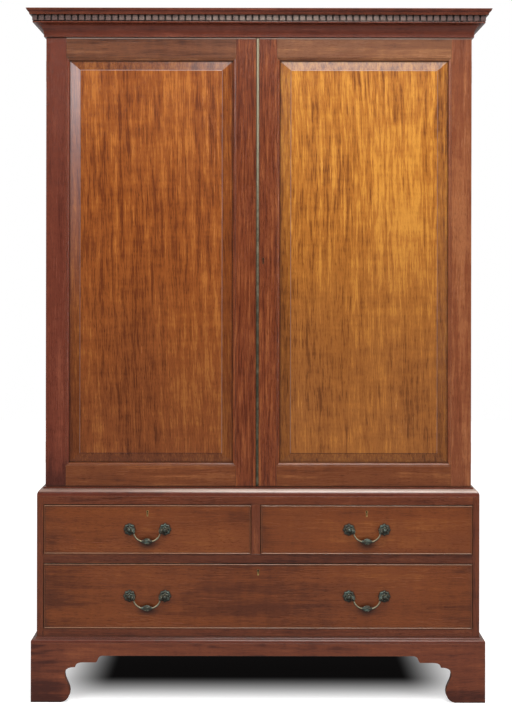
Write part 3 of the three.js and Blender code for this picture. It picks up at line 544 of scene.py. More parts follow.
def dust_and_highlight_moulding(name, dust, unmarked_top=0):
    """A moulding with a dusting and a painted highlight on its upward faces, more so toward the right."""
    finish = new_finish(f"{name} mahogany", "moulding_mahogany")
    place = parts_of("place")
    wood, height = figured(MOULDING_SHADES, stripes=0.4, flecks=0.2, pitch=50)
    # Painted highlight with a dusting on the upward faces, strongest toward the right.
    lying = between(parts_of("facing")["Z"], 0.36, 0.58)
    rightward = between(place["X"], 0.15, 0.42, 0.42 * dust, dust)
    patchy = between(pattern(attribute("grain"), DUST_AND_HIGHLIGHT_PATCHES), 0.25, 0.6, 0.75, 1)
    dust_and_highlight_mask = times(lying, rightward, patchy)
    if unmarked_top:
        dust_and_highlight_mask = times(dust_and_highlight_mask, between(place["Z"], 1, 1 - unmarked_top))
    polished(lay(wood, MOULDING_DUST_AND_HIGHLIGHT, dust_and_highlight_mask), height, polish=0.26, rub=0.4)
    return finish


def shadow_and_grime_under_bails(drawer, facing):
    """From 0 on clean wood to 1 in the painted shadow and dirt behind and under each bail."""
    size = Vector((1 / BAIL_SHADOW_WIDTH, 0, 1 / BAIL_SHADOW_HEIGHT))
    scaled = vectors("MULTIPLY", spot(), size)
    grime_and_shade_mask = 0
    for handle in HANDLES[drawer]:
        bail = f"{handle}_handle_bail"
        middle = Vector((centre(bail), 0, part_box(bail)[0].z + BAIL_SHADOW_RISE)) * size
        away = vectors("DISTANCE", scaled, middle, "Value")
        grime_and_shade_mask = maths("MAXIMUM", grime_and_shade_mask, between(away, 0.2, 1, 1, 0))
    return times(grime_and_shade_mask, between(facing, -0.5, -0.9))


def drawer_mahogany(drawer, dull_middle=0):
    """A drawer front, darker at its ends, with a painted shadow and dirt under its bails, and its cock bead
    pale on top with wear and a painted highlight.
    """
    finish = new_finish(drawer.replace("_", " ") + " mahogany", "drawer_mahogany")
    place = parts_of("place")
    facing = parts_of("facing")
    from_middle = away_from(place["X"], 0.5)
    ends = between(from_middle, 0.36, 0.5, 0, -0.15)
    dulled = between(from_middle, 0.08, 0.3, -dull_middle, 0)
    wood, height = figured(DRAWER_SHADES, 0.34, 0.15, 30, 0.22, 0.3, total(ends, dulled))
    # Painted highlight with wear on the upward faces of the cock bead.
    bead = between(place["Y"], 0.11, 0.09)
    lying = between(facing["Z"], 0.2, 0.7, 0.05, 0.5)
    pale = lay(wood, BEAD_HIGHLIGHT_AND_WEAR, times(bead, lying))
    # Painted shadow with dirt under each bail.
    grimed_and_shaded = lay(pale, BAIL_SHADOW_AND_GRIME, shadow_and_grime_under_bails(drawer, facing["Y"]), 0.85)
    polished(grimed_and_shaded, height, grime_and_shade=1)
    return finish


def plinth_mahogany():
    """The plinth is darker toward the floor, and toward one end of each piece."""
    finish = new_finish("plinth mahogany", "frame_mahogany")
    place = parts_of("place")
    foot_darkening = between(place["Z"], 0, 0.5, -0.45, 0)
    stained = between(place["X"], 0.02, 0.1, -0.35, 0)
    wood, height = figured(PLINTH_SHADES, 0.45, 0.35, 36, 0.25, 0.5, total(foot_darkening, stained))
    polished(wood, height, polish=0.36)
    return finish


def panel_mahogany(name, head, foot, golden_from, golden_to, stripes, flecks, pitch, left_highlight=0):
    """A fielded panel, brighter and more figured above than at its foot, with painted shade on its bevels,
    painted highlight and shade on its arrises, and if need be a painted highlight on its left bevel.
    """
    finish = new_finish(f"{name} panel mahogany", "panel_mahogany")
    rise = parts_of("place")["Z"]
    bright = between(rise, golden_from, golden_to)
    shades = [blend(bright, shade(*low), shade(*high)) for low, high in zip(foot, head)]
    clear = between(rise, 0.2, 0.8, 0.45, 1)
    wood, height = figured(shades, times(clear, stripes), times(clear, flecks), pitch, 0.35, 0.5, ticks=1.2)
    facing = parts_of("facing")
    # Painted shade on the bevels, deepest on the top bevel.
    bevel = between(facing["Y"], -0.988, -0.982)
    bevel_shading = blend(between(facing["Z"], 0.08, 0.15), shade(*BEVEL_SHADE), shade(*TOP_BEVEL_SHADE))
    darker = blend(times(bevel, 0.9), shade(*WHITE), bevel_shading)
    bevel_shaded = blend(1, wood, darker, how="MULTIPLY")
    # Painted highlight on the upper part of the left-facing bevel.
    leftward = times(between(facing["X"], -0.08, -0.15), between(rise, 0.3, 1))
    highlighted = lay(bevel_shaded, LEFT_BEVEL_HIGHLIGHT, leftward, left_highlight)
    # Painted highlight on the arrises that face up and painted shade on those that face down.
    arris = between(facing["Y"], -0.97, -0.9)
    arris_highlight_and_shade = lay(shade(*ARRIS_SHADE), ARRIS_HIGHLIGHT, between(facing["Z"], -0.5, 0.5))
    arrises_lit_and_shaded = blend(times(arris, 0.7), highlighted, arris_highlight_and_shade)
    polished(arrises_lit_and_shaded, height, polish=0.27, rub=0.15)
    return finish


def dust_and_highlight_dentil():
    """The dentils' faces are paler with a dusting and a painted highlight, most of all in the middle, and
    darker in the gaps with dirt and painted shade.
    """
    finish = new_finish("dusty dentil mahogany", "moulding_mahogany")
    wood, height = figured(DENTIL_SHADES, stripes=0.4, flecks=0.3, pitch=50)
    # Painted highlight with a dusting on the dentils' fronts, strongest in the middle.
    front = between(parts_of("facing")["Y"], -0.6, -0.95)
    middle = between(away_from(parts_of("place")["X"], 0.54), 0.5, 0.02, 0.1, 1)
    patchy = between(pattern(attribute("grain"), DENTIL_PATCHES), 0.3, 0.6, 0.4, 1)
    dusty = lay(wood, DENTIL_DUST_AND_HIGHLIGHT, times(front, middle, patchy), 0.2)
    # Painted shade with dirt in the gaps between the dentils.
    grimed_and_shaded = lay(dusty, DENTIL_GRIME_AND_SHADE, hollow(DENTIL_GRIME_AND_SHADE_REACH), 0.75)
    close_finish(grimed_and_shaded, 0.5, height)
    return finish


def tray_oak():
    finish = new_finish("tray oak", "tray_oak")
    wood, height = figured(OAK_SHADES, 0.6, 0.4, 90, 0.2, 0.4, pores=0.9)
    polished(wood, height, polish=0.55, grime_and_shade=0.5, rub=0.1, coat=0)
    return finish


def carcase_pine():
    finish = new_finish("carcase pine", "carcase_pine")
    wood, height = figured(PINE_SHADES, 0.65, 0.2, 60, 0.1, 0.3, pores=0.2)
    polished(wood, height, polish=0.7, grime_and_shade=0.6, rub=0, coat=0)
    return finish


def aged_brass(name, bright, dull, tarnished, shade_inside=0):
    """Brass with brown tarnish between worn places, dirt and painted shade in its hollows, and painted shade
    inside a keyhole.
    """
    finish = new_finish(name, "aged_brass")
    where = spot()
    patches = noise(where, detail=5, roughness=0.65, scale=60)
    clouds = noise(where, scale=7)
    tarnish = between(total(patches, swing(clouds, 0.7)), 0.4, 0.62)
    bare = blend(noise(where, scale=400), shade(*bright), shade(*dull))
    metal = lay(bare, tarnished, tarnish)
    # Painted shade with dirt in the hollows.
    grimed_and_shaded = lay(metal, BRASS_GRIME_AND_SHADE, hollow(BRASS_GRIME_AND_SHADE_REACH), 0.8)
    # Painted shade on the faces that turn inward, inside a keyhole.
    turned_in = between(split(spot("Normal"))["Y"], -0.4, -0.1)
    shaded_inside = lay(grimed_and_shaded, KEYHOLE_SHADE, turned_in, shade_inside)
    roughness = between(tarnish, 0, 1, 0.32, 0.55)
    close_finish(shaded_inside, roughness, patches, Metallic=0.6)
    return finish


def black_iron():
    """Hand-made nails, black with rusty tops."""
    finish = new_finish("black iron", "dark_bronze")
    crust = noise(spot(), detail=5, roughness=0.7, scale=500)
    rusty = lay(shade(*IRON_BLACK), IRON_RUST, between(crust, 0.4, 0.65))
    close_finish(rusty, 0.7, crust, RUST_DEPTH, Metallic=0.3)
    return finish


def tarnished_strip():
    """The meeting strip: brighter at the top, dark and green further down, with dirt and painted shade in its
    hollows.
    """
    finish = new_finish("tarnished strip brass", "aged_brass")
    where = spot()
    patches = noise(where, detail=4, roughness=0.6, scale=45)
    lower = between(split(where)["Z"], STRIP_BRIGHT_HEIGHT, STRIP_DARK_HEIGHT, 0, 0.55)
    tarnish = total(lower, swing(patches, 0.9))
    metal = lay(shade(*STRIP_BRIGHT), STRIP_DARK, between(tarnish, 0, 0.7))
    # Painted shade with dirt in the hollows.
    grimed_and_shaded = lay(metal, STRIP_GRIME_AND_SHADE, hollow(STRIP_GRIME_AND_SHADE_REACH), 0.7)
    roughness = between(tarnish, 0, 1, 0.36, 0.56)
    close_finish(grimed_and_shaded, roughness, patches, Metallic=0.6)
    return finish


def dark_bronze():
    """Cast handles: green in patches, dark with painted shade underneath and dirt and painted shade in the
    hollows, worn bare on rims, and pale along the tops of the rods with wear and a painted highlight.
    """
    finish = new_finish("dark bronze", "dark_bronze")
    where = spot()
    crust = noise(where, detail=6, roughness=0.7, scale=220)
    green = between(noise(where, detail=3, scale=70), 0.42, 0.66)
    skin = lay(shade(*BRONZE_BROWN), BRONZE_GREEN, green)
    facing_up = split(spot("Normal"))["Z"]
    # Painted highlight with wear along the tops of the rods.
    rod_top_highlight_and_wear = times(attribute("worn", "Fac"), between(facing_up, -0.5, 0.5, 0, 0.6))
    bare_and_highlit = maths("MAXIMUM", times(outer_edge(BRONZE_EDGE_REACH), 0.95), rod_top_highlight_and_wear)
    # Painted shade on the undersides, and painted shade with dirt in the hollows.
    below = between(facing_up, 0.1, -0.7, 0, 0.75)
    grime_and_shade_mask = maths("MAXIMUM", times(hollow(BRONZE_GRIME_AND_SHADE_REACH), 0.8), below)
    grimed_and_shaded = lay(lay(skin, BRONZE_BARE_AND_HIGHLIGHT, bare_and_highlit), BRONZE_GRIME_AND_SHADE, grime_and_shade_mask)
    roughness = between(crust, 0.3, 0.7, 0.28, 0.5)
    close_finish(grimed_and_shaded, roughness, crust, CRUST_DEPTH, Metallic=0.45)
    return finish


def centre(node, axis="x"):
    """The middle of a node's box along an axis."""
    low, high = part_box(node)
    return (getattr(low, axis) + getattr(high, axis)) / 2


FRAME = mahogany("frame", FRAME_SHADES)
MEETING = mahogany("meeting stile", MEETING_SHADES, 0.45, 0.9, 84, 0.2, 0.15, dusty=0.7)
DOOR_PARTS = {
    "left_door_hinge_stile": mahogany("ruddy stile", RUDDY_SHADES, stripes=0.4, flecks=0.15, foot_darkening=0.6),
    "right_door_hinge_stile": mahogany("right stile", BRIGHT_SHADES, flecks=0.35, clouds=0.6, dusty=0.5),
    "left_door_top_rail": mahogany("left rail", LEFT_RAIL_SHADES, dusty=0.7),
    "right_door_top_rail": mahogany("right rail", RIGHT_RAIL_SHADES, dusty=0.7),
    "left_door_meeting_stile": MEETING,
    "right_door_meeting_stile": MEETING,
}
CASE = mahogany("case", CASE_SHADES, pitch=40)
MIDDLE_RAIL = mahogany("middle rail", MIDDLE_RAIL_SHADES, pitch=40)
MOULDINGS = {
    "cornice_moulding": dust_and_highlight_moulding("cornice", 0.5),
    "waist_moulding": dust_and_highlight_moulding("waist", 0.92, unmarked_top=0.1),
    "base_moulding": dust_and_highlight_moulding("base", 0.15),
}
DENTIL = dust_and_highlight_dentil()
PLINTH = plinth_mahogany()
DRAWERS = {
    "left_drawer": drawer_mahogany("left_drawer"),
    "right_drawer": drawer_mahogany("right_drawer"),
    "long_drawer": drawer_mahogany("long_drawer", dull_middle=0.3),
}
PANELS = {
    "left": panel_mahogany("ruddy", RUDDY_HEAD, RUDDY_FOOT, 0.1, 0.6, 0.62, 0.6, 54, left_highlight=0.16),
    "right": panel_mahogany("golden", GOLDEN_HEAD, BROWN_FOOT, 0.2, 0.75, 0.56, 0.75, 56),
}
OAK = tray_oak()
PINE = carcase_pine()
BRASS = aged_brass("aged brass", *BRASS_SHADES)
KEYHOLE_BRASS = aged_brass("keyhole brass", *BRASS_SHADES, shade_inside=0.95)
BROWN_BRASS = aged_brass("browned brass", *BROWN_BRASS_SHADES, shade_inside=0.95)
IRON = black_iron()
STRIP = tarnished_strip()
BRONZE = dark_bronze()


def seat(piece, finish, body, *nodes):
    """Gives a piece its finish and its body, and hides the nodes that it stands for."""
    piece.data.materials.clear()
    piece.data.materials.append(finish.material)
    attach(piece, body)
    if nodes:
        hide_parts(*nodes)
    return piece


def link_piece(name, mesh):
    piece = bpy.data.objects.new(name, mesh)
    bpy.context.scene.collection.objects.link(piece)
    return piece


def settle(piece):
    """Makes what the modifiers give the piece's own mesh."""
    shown = piece.evaluated_get(bpy.context.evaluated_depsgraph_get())
    mesh = bpy.data.meshes.new_from_object(shown)
    piece.modifiers.clear()
    piece.data = mesh
    return mesh


def smooth(mesh, angle=SMOOTH_ANGLE):
    mesh.shade_smooth()
    mesh.set_sharp_from_angle(angle=math.radians(angle))


def run_of(face, low, high, run):
    """The axis that the grain follows at a face. On a mitred piece it turns the corner."""
    if run != "mitred":
        return "xyz".index(run)
    from_side = min(face.center.x - low.x, high.x - face.center.x)
    return 0 if face.center.y - low.y < from_side else 1


def lay_grain(mesh, name, run, lean=0, boards=0):
    """Writes each corner's place in the wood, and in the piece as shares of its size."""
    rng = random.Random(name)
    start = Vector([rng.uniform(0, GRAIN_START) for _ in range(3)])
    corners = [vertex.co for vertex in mesh.vertices]
    low, high = [Vector([pick(co[axis] for co in corners) for axis in range(3)]) for pick in (min, max)]
    size = high - low
    for layer, domain in GRAIN_LAYERS.items():
        mesh.attributes.new(layer, "FLOAT_VECTOR", domain)
    grain, place, facing = [mesh.attributes[layer].data for layer in GRAIN_LAYERS]
    for face in mesh.polygons:
        facing[face.index].vector = face.normal
        along = run_of(face, low, high, run)
        across = [axis for axis in range(3) if axis != along]
        board = int(boards * (face.center.x - low.x) / size.x) if boards else along
        for corner in face.loop_indices:
            co = corners[mesh.loops[corner].vertex_index]
            first = co[across[0]] + lean * co[along] + board
            grain[corner].vector = (first + start.x, co[across[1]] + start.y, co[along] + start.z)
            place[corner].vector = [(co[axis] - low[axis]) / size[axis] for axis in range(3)]


def eased(piece, edge):
    """Eases a piece's edges, and keeps its flat faces flat."""
    rounding = piece.modifiers.new("eased edges", "BEVEL")
    rounding.width = edge
    rounding.segments = 2
    rounding.limit_method = "ANGLE"
    rounding.angle_limit = math.radians(EDGE_ANGLE)
    rounding.use_clamp_overlap = False
    rounding.loop_slide = False
    level = piece.modifiers.new("flat faces stay flat", "WEIGHTED_NORMAL")
    level.weight = FLAT_WEIGHT
    level.keep_sharp = True
    settle(piece)
    return piece


def refined(node, edge, crease=SMOOTH_ANGLE):
    """A copy of a CAD node with whole faces and eased edges."""
    mesh = frame["nodes"][node].data.copy()
    work = bmesh.new()
    work.from_mesh(mesh)
    bmesh.ops.remove_doubles(work, verts=work.verts, dist=WELD)
    flat = math.radians(FLAT_ANGLE)
    bmesh.ops.dissolve_limit(work, angle_limit=flat, verts=work.verts, edges=work.edges)
    many_sided = [face for face in work.faces if len(face.verts) > 4]
    bmesh.ops.triangulate(work, faces=many_sided, ngon_method="EAR_CLIP")
    work.to_mesh(mesh)
    work.free()
    smooth(mesh, crease)
    return eased(link_piece(f"{node}_finished", mesh), edge)


def board(node, finish, run, edge=EASED_EDGE, lean=0, boards=0, crease=SMOOTH_ANGLE):
    """A wooden piece with its grain laid along its run."""
    piece = refined(node, edge, crease)
    lay_grain(piece.data, node, run, lean, boards)
    seat(piece, finish, frame["nodes"][node]["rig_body"], node)


def metal(node, finish):
    seat(refined(node, CRISP_EDGE), finish, frame["nodes"][node]["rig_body"], node)


def finished_mesh(work, name):
    mesh = bpy.data.meshes.new(name)
    work.to_mesh(mesh)
    work.free()
    return mesh


def ring_mesh(name, rings, round_again=False):
    """A skin over rings of points, closed at its ends or led round again to its start."""
    work = bmesh.new()
    laid = [[work.verts.new(point) for point in ring] for ring in rings]
    pairs = list(zip(laid, laid[1:]))
    if round_again:
        pairs.append((laid[-1], laid[0]))
    for near, far in pairs:
        for place in range(len(near)):
            onward = (place + 1) % len(near)
            work.faces.new((near[place], near[onward], far[onward], far[place]))
    if not round_again:
        ends = [work.faces.new(laid[0][::-1]), work.faces.new(laid[-1])]
        for end in ends:
            end.normal_update()
        bmesh.ops.triangulate(work, faces=ends, ngon_method="EAR_CLIP")
    bmesh.ops.recalc_face_normals(work, faces=work.faces)
    return finished_mesh(work, name)


def joined(name, meshes):
    """Several closed meshes as one."""
    work = bmesh.new()
    for mesh in meshes:
        work.from_mesh(mesh)
        bpy.data.meshes.remove(mesh)
    return finished_mesh(work, name)


def turn_at(place, places):
    """How far round a circle a place lies, in radians."""
    return 2 * math.pi * place / places


def quarter(start, end, upright_first):
    """A quarter of an ellipse between two points of a section, without its start."""
    points = []
    for step in range(1, CURVE_STEPS + 1):
        turn = math.pi / 2 * step / CURVE_STEPS
        along, up = (1 - math.cos(turn), math.sin(turn))
        if not upright_first:
            along, up = up, along
        points.append((start[0] + (end[0] - start[0]) * along, start[1] + (end[1] - start[1]) * up))
    return points


def section(stretches, reach, rise):
    """A moulding's section as (out, up) points."""
    points = []
    for kind, out, up in stretches:
        point = (out * reach, up * rise)
        points += [point] if kind == "to" else quarter(points[-1], point, kind == "upright")
    return points


def softened(points):
    """A section with its sharp corners rubbed round."""
    soft = [points[0]]
    for before, corner, after in zip(points, points[1:], points[2:]):
        before, corner, after = Vector(before), Vector(corner), Vector(after)
        if (corner - before).angle(after - corner) < math.radians(EDGE_ANGLE):
            soft.append(tuple(corner))
            continue
        reach = min(ARRIS, (corner - before).length / 2, (after - corner).length / 2)
        start = corner + (before - corner).normalized() * reach
        end = corner + (after - corner).normalized() * reach
        soft += [tuple(start), tuple((start + end + corner * 2) / 4), tuple(end)]
    return soft + [points[-1]]


def wrapped_moulding(node, stretches, case, front):
    """A moulding mitred round the front and both sides of a case."""
    low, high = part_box(node)
    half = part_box(case)[1].x
    inner = front - (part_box(case)[0].y - GLUE_LINE)
    outline = section(stretches, high.x - half, high.z - low.z)
    profile = [(GLUE_LINE, 0, inner)] + [(out, up, out) for out, up in softened(outline)]
    profile.append((GLUE_LINE, high.z - low.z, inner))
    rings = []
    for hand, at_front in ((-1, False), (-1, True), (1, True), (1, False)):
        rings.append([
            (hand * (half + out), front - ahead if at_front else high.y, low.z + up)
            for out, up, ahead in profile
        ])
    mesh = ring_mesh(node, rings)
    smooth(mesh, CURVE_CREASE)
    piece = link_piece(f"{node}_finished", mesh)
    lay_grain(mesh, node, "mitred")
    seat(piece, MOULDINGS[node], "case", node)


def cornice():
    wrapped_moulding("cornice_moulding", CORNICE_SHARES, "upper_side_right", DOOR_FACE)
    board("dentil_strip", DENTIL, "mitred", CRISP_EDGE)
    board("cornice_frame", PINE, "mitred")


def upper_case():
    for hand in HANDS:
        board(f"upper_side_{hand}", CASE, "z")
    board("upper_top", PINE, "x")
    board("upper_bottom", PINE, "x")
    board("upper_back", PINE, "z", boards=BACK_BOARDS)
    wrapped_moulding("waist_moulding", WAIST_SHARES, "upper_side_right", DOOR_FACE)
    for number in (1, 2, 3):
        board(f"linen_tray_{number}", OAK, "x")


def doors():
    for hand in HANDS:
        for part, run in DOOR_RUNS.items():
            node = f"{hand}_door_{part}"
            board(node, DOOR_PARTS.get(node, FRAME), run, CRISP_EDGE)
        board(f"{hand}_door_panel", PANELS[hand], "z", PANEL_ARRIS, lean=PANEL_LEAN, crease=MITRE_ANGLE)
        for level in LEVELS:
            metal(f"{hand}_{level}_hinge_case_leaf", BRASS)
            metal(f"{hand}_{level}_hinge_door_leaf", BRASS)
    metal("door_meeting_strip", STRIP)


def lower_case():
    for hand in HANDS:
        board(f"lower_side_{hand}", CASE, "z")
    board("lower_top", CASE, "x")
    board("lower_bottom", CASE, "x")
    board("middle_rail", MIDDLE_RAIL, "x")
    board("centre_upright", CASE, "z")
    board("lower_back", PINE, "x")
    wrapped_moulding("base_moulding", BASE_SHARES, "lower_side_right", LOWER_FACE)


def plinth():
    board("plinth_front", PLINTH, "x")
    for hand in HANDS:
        board(f"plinth_{hand}", PLINTH, "y")


def drawers():
    for drawer, finish in DRAWERS.items():
        board(f"{drawer}_front", finish, "x", CRISP_EDGE)
        board(f"{drawer}_box", OAK, "y")


def turned(axis, profile, sides, lobes=0, lobe_share=0):
    """A turning about a line that runs back into the drawer, from (radius, how far out) pairs."""
    rings = []
    turns = [turn_at(place, sides) for place in range(sides)]
    for radius, out in profile:
        draws = [radius * (1 - lobe_share * abs(math.sin(lobes * turn / 2))) for turn in turns]
        rings.append([
            (axis.x + draw * math.sin(turn), axis.y - out, axis.z + draw * math.cos(turn))
            for draw, turn in zip(draws, turns)
        ])
    return ring_mesh("turned", rings)


def handle_post(name, drawer):
    """A petalled rosette, a ball head that holds the bail, and a bolt with its nut behind."""
    low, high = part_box(name)
    axis = Vector((centre(name), LOWER_FACE, centre(name, "z")))
    rosette = (high.x - low.x) / 2 * ROSETTE_SHARE
    out = LOWER_FACE - low.y
    head = out * HEAD_SHARE
    meshes = []
    for shares, lobes, lobe_share in ROSETTE_SHARES:
        profile = [(radius * rosette, rise * out) for radius, rise in shares]
        meshes.append(turned(axis, profile, ROSETTE_TURNS if lobes else HEAD_SIDES, lobes, lobe_share))
    turns = [math.pi * step / HEAD_STEPS for step in range(1, HEAD_STEPS)]
    ball = [(head * math.sin(turn), out - head + head * -math.cos(turn)) for turn in turns]
    meshes.append(turned(axis, ball, HEAD_SIDES))
    nut_back = LOWER_FACE - high.y
    nut_front = nut_back + NUT_THICKNESS
    meshes.append(turned(axis, [(BOLT_RADIUS, nut_front), (BOLT_RADIUS, 0)], HEAD_SIDES))
    meshes.append(turned(axis, [(NUT_RADIUS, nut_back), (NUT_RADIUS, nut_front)], NUT_SIDES))
    mesh = joined(name, meshes)
    smooth(mesh, POST_CREASE)
    seat(link_piece(f"{name}_cast", mesh), BRONZE, drawer, name)


def bail_course(half, drop):
    """The bail's centre line as (across, down) points."""
    neck = half - BAIL_NECK_INSET
    end = half + BAIL_END_REACH
    side = [(end, 0), ((end + neck) / 2, 0), (neck + BAIL_ROD, 0)]
    side += [(across * neck, down * drop) for across, down in BAIL_COURSE_SHARES]
    return [(-across, down) for across, down in side] + side[::-1]


def smooth_course(points, count):
    """Evenly spaced points along a smooth curve through the given ones, and its length."""
    dense = []
    padded = [points[0], *points, points[-1]]
    for span in zip(padded, padded[1:], padded[2:], padded[3:]):
        for step in range(BAIL_SPAN_STEPS):
            share = step / BAIL_SPAN_STEPS
            dense.append([
                0.5 * (2 * b + (c - a) * share + (2 * a - 5 * b + 4 * c - d) * share ** 2
                       + (3 * b - a - 3 * c + d) * share ** 3)
                for a, b, c, d in zip(*span)
            ])
    dense.append(list(points[-1]))
    lengths = [0]
    for near, far in zip(dense, dense[1:]):
        lengths.append(lengths[-1] + math.dist(near, far))
    course = []
    place = 0
    for step in range(count + 1):
        wanted = lengths[-1] * step / count
        while place < len(lengths) - 2 and lengths[place + 1] < wanted:
            place += 1
        stretch = lengths[place + 1] - lengths[place]
        share = (wanted - lengths[place]) / stretch if stretch else 0
        course.append([a + (b - a) * share for a, b in zip(dense[place], dense[place + 1])])
    return course, lengths[-1]


def swell(distance, middle, length, radius):
    """A bead's radius at a distance along the rod."""
    reach = abs(distance - middle) / (length / 2)
    return radius * (1 - reach ** SWELL_FULLNESS) ** SWELL_ROUNDNESS if reach < 1 else 0


def handle_bail(name, posts, body):
    """A swan-necked bail with leafy collars and a lobed knop in the middle."""
    places = [centre(post) for post in posts]
    middle = sum(places) / 2
    half = abs(places[1] - places[0]) / 2
    axis_y = centre(name, "y")
    axis_z = centre(posts[0], "z")
    drop = axis_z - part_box(name)[0].z - KNOP_RADIUS
    course, length = smooth_course(bail_course(half, drop), BAIL_STEPS)
    rings = []
    worn = []
    for step, (across, down) in enumerate(course):
        before = course[max(step - 1, 0)]
        after = course[min(step + 1, BAIL_STEPS)]
        heading = Vector((after[0] - before[0], 0, before[1] - after[1])).normalized()
        side = Vector((-heading.z, 0, heading.x))
        distance = length * step / BAIL_STEPS
        to_middle = abs(distance - length / 2)
        rod = BAIL_ROD + BAIL_SWELL * math.sin(math.pi * distance / length) ** 2
        collar = swell(min(distance, length - distance), COLLAR_FROM_POST, COLLAR_LENGTH, COLLAR_RADIUS)
        bead = swell(to_middle, KNOP_LENGTH / 2 + KNOP_BEAD_LENGTH / 4, KNOP_BEAD_LENGTH, KNOP_BEAD)
        knop = swell(to_middle, 0, KNOP_LENGTH, KNOP_RADIUS)
        ring = []
        for place in range(BAIL_SIDES):
            turn = turn_at(place, BAIL_SIDES)
            lobe = abs(math.sin(LEAF_LOBES * turn / 2 + LEAF_TWIST_A_METRE * to_middle))
            leaf = 1 - LEAF_DEPTH_SHARE * lobe ** 2
            radius = max(rod, collar * leaf, bead, knop * leaf)
            offset = side * (radius * math.cos(turn)) + Vector((0, radius * math.sin(turn), 0))
            ring.append(Vector((middle + across, axis_y, axis_z - down)) + offset)
            worn.append(float(radius == rod))
        rings.append(ring)
    mesh = ring_mesh(name, rings)
    mesh.attributes.new("worn", "FLOAT", "POINT").data.foreach_set("value", worn)
    smooth(mesh, BAIL_CREASE)
    seat(link_piece(f"{name}_cast", mesh), BRONZE, body, name)


def handles():
    for drawer, drawer_handles in HANDLES.items():
        for handle in drawer_handles:
            posts = [f"{handle}_handle_post_{hand}" for hand in HANDS]
            for post in posts:
                handle_post(post, drawer)
            handle_bail(f"{handle}_handle_bail", posts, f"{handle}_bail")


def keyhole_outline(x, z, grown, tail=0):
    """A keyhole's outline grown by a margin: a round eye over a slot."""
    radius = KEYHOLE_RADIUS + grown
    half = KEYHOLE_HALF_SLOT + grown
    foot = z - KEYHOLE_DROP - grown - tail
    start = math.asin(half / radius)
    points = [(x + half, foot), (x - half, foot)]
    for step in range(KEYHOLE_STEPS + 1):
        turn = math.pi + start + (2 * math.pi - 2 * start) * step / KEYHOLE_STEPS
        points.append((x + radius * math.sin(turn), z + radius * math.cos(turn)))
    return points


def escutcheon(name, x, z, face, body, finish=KEYHOLE_BRASS):
    """A brass lining in a keyhole, with a narrow lip that runs longer below the slot."""
    wall = -ESCUTCHEON_WALL
    course = (
        (wall, -ESCUTCHEON_SINK, 0), (wall, ESCUTCHEON_PROUD / 2, 0), (0, ESCUTCHEON_PROUD, 0),
        (ESCUTCHEON_LIP * LIP_ROUND_SHARE, ESCUTCHEON_PROUD, ESCUTCHEON_TAIL * TAIL_ROUND_SHARE),
        (ESCUTCHEON_LIP, 0, ESCUTCHEON_TAIL), (wall / 4, 0, 0), (wall / 4, -ESCUTCHEON_SINK, 0),
    )
    rings = []
    for grown, proud, longer in course:
        rings.append([(px, face - proud, pz) for px, pz in keyhole_outline(x, z, grown, longer)])
    mesh = ring_mesh(name, rings, round_again=True)
    smooth(mesh)
    seat(link_piece(name, mesh), finish, body)


def keyholes():
    for drawer in HANDLES:
        front = f"{drawer}_front"
        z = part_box(front)[1].z - DRAWER_KEYHOLE_DROP
        escutcheon(f"{drawer}_escutcheon", centre(front), z, LOWER_FACE, drawer)
    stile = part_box("right_door_meeting_stile")[0]
    place = (stile.x + DOOR_KEYHOLE_INSET, stile.z + DOOR_KEYHOLE_RISE)
    escutcheon("right_door_escutcheon", *place, DOOR_FACE, "right_door", BROWN_BRASS)


def slab_mesh(low, high):
    ends = []
    for z in (low[2], high[2]):
        ends.append([(low[0], low[1], z), (high[0], low[1], z), (high[0], high[1], z), (low[0], high[1], z)])
    return ring_mesh("slab", ends)


def standing_box(x, back, z, size, start=0):
    """A box behind a face at y = back, centred on x and z."""
    width, depth, height = size
    near = back + start
    return (x - width / 2, near, z - height / 2), (x + width / 2, near + depth, z + height / 2)


def fitting(name, body, x, back, z, plate_size, case_size):
    """A brass plate with a case or a knob on it. It gives the places for four screws."""
    plate = standing_box(x, back, z, plate_size)
    case = standing_box(x, back, z, case_size, plate_size[1])
    mesh = joined(name, [slab_mesh(*plate), slab_mesh(*case)])
    smooth(mesh)
    seat(eased(link_piece(name, mesh), PLATE_EDGE), BRASS, body)
    low, high = plate
    inset = 2 * SCREW_HEAD[0]
    across, up = [(low[axis] + inset, high[axis] - inset) for axis in (0, 2)]
    return [(px, high[1], pz) for px in across for pz in up]


def locks():
    """The drawers' and the right door's locks, and the left door's flush bolts."""
    screws = {}
    for drawer in HANDLES:
        front = f"{drawer}_front"
        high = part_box(front)[1]
        z = high.z - LOCK_BELOW_EDGE - LOCK_PLATE[2] / 2
        screws[drawer] = fitting(f"{drawer}_lock", drawer, centre(front), high.y, z, LOCK_PLATE, LOCK_CASE)
    low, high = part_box("right_door_meeting_stile")
    x = low.x + DOOR_LOCK_PLATE[0] / 2 + LOCK_BELOW_EDGE
    place = (x, high.y, low.z + DOOR_KEYHOLE_RISE)
    screws["right_door"] = fitting("right_door_lock", "right_door", *place, DOOR_LOCK_PLATE, DOOR_LOCK_CASE)
    stile = "left_door_meeting_stile"
    low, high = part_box(stile)
    half = BOLT_PLATE[2] / 2
    for level, z in (("upper", high.z - BOLT_FROM_EDGE - half), ("lower", low.z + half)):
        name = f"left_door_{level}_flush_bolt"
        fitting(name, "left_door", centre(stile), high.y, z, BOLT_PLATE, BOLT_SLOT_KNOB)
    for body, places in screws.items():
        name = f"{body}_lock_screws"
        copies(name, places, screw_head(), LOCK_SCREW_HEAD, FACING_BACK, HALF_TURN, BRASS, body)


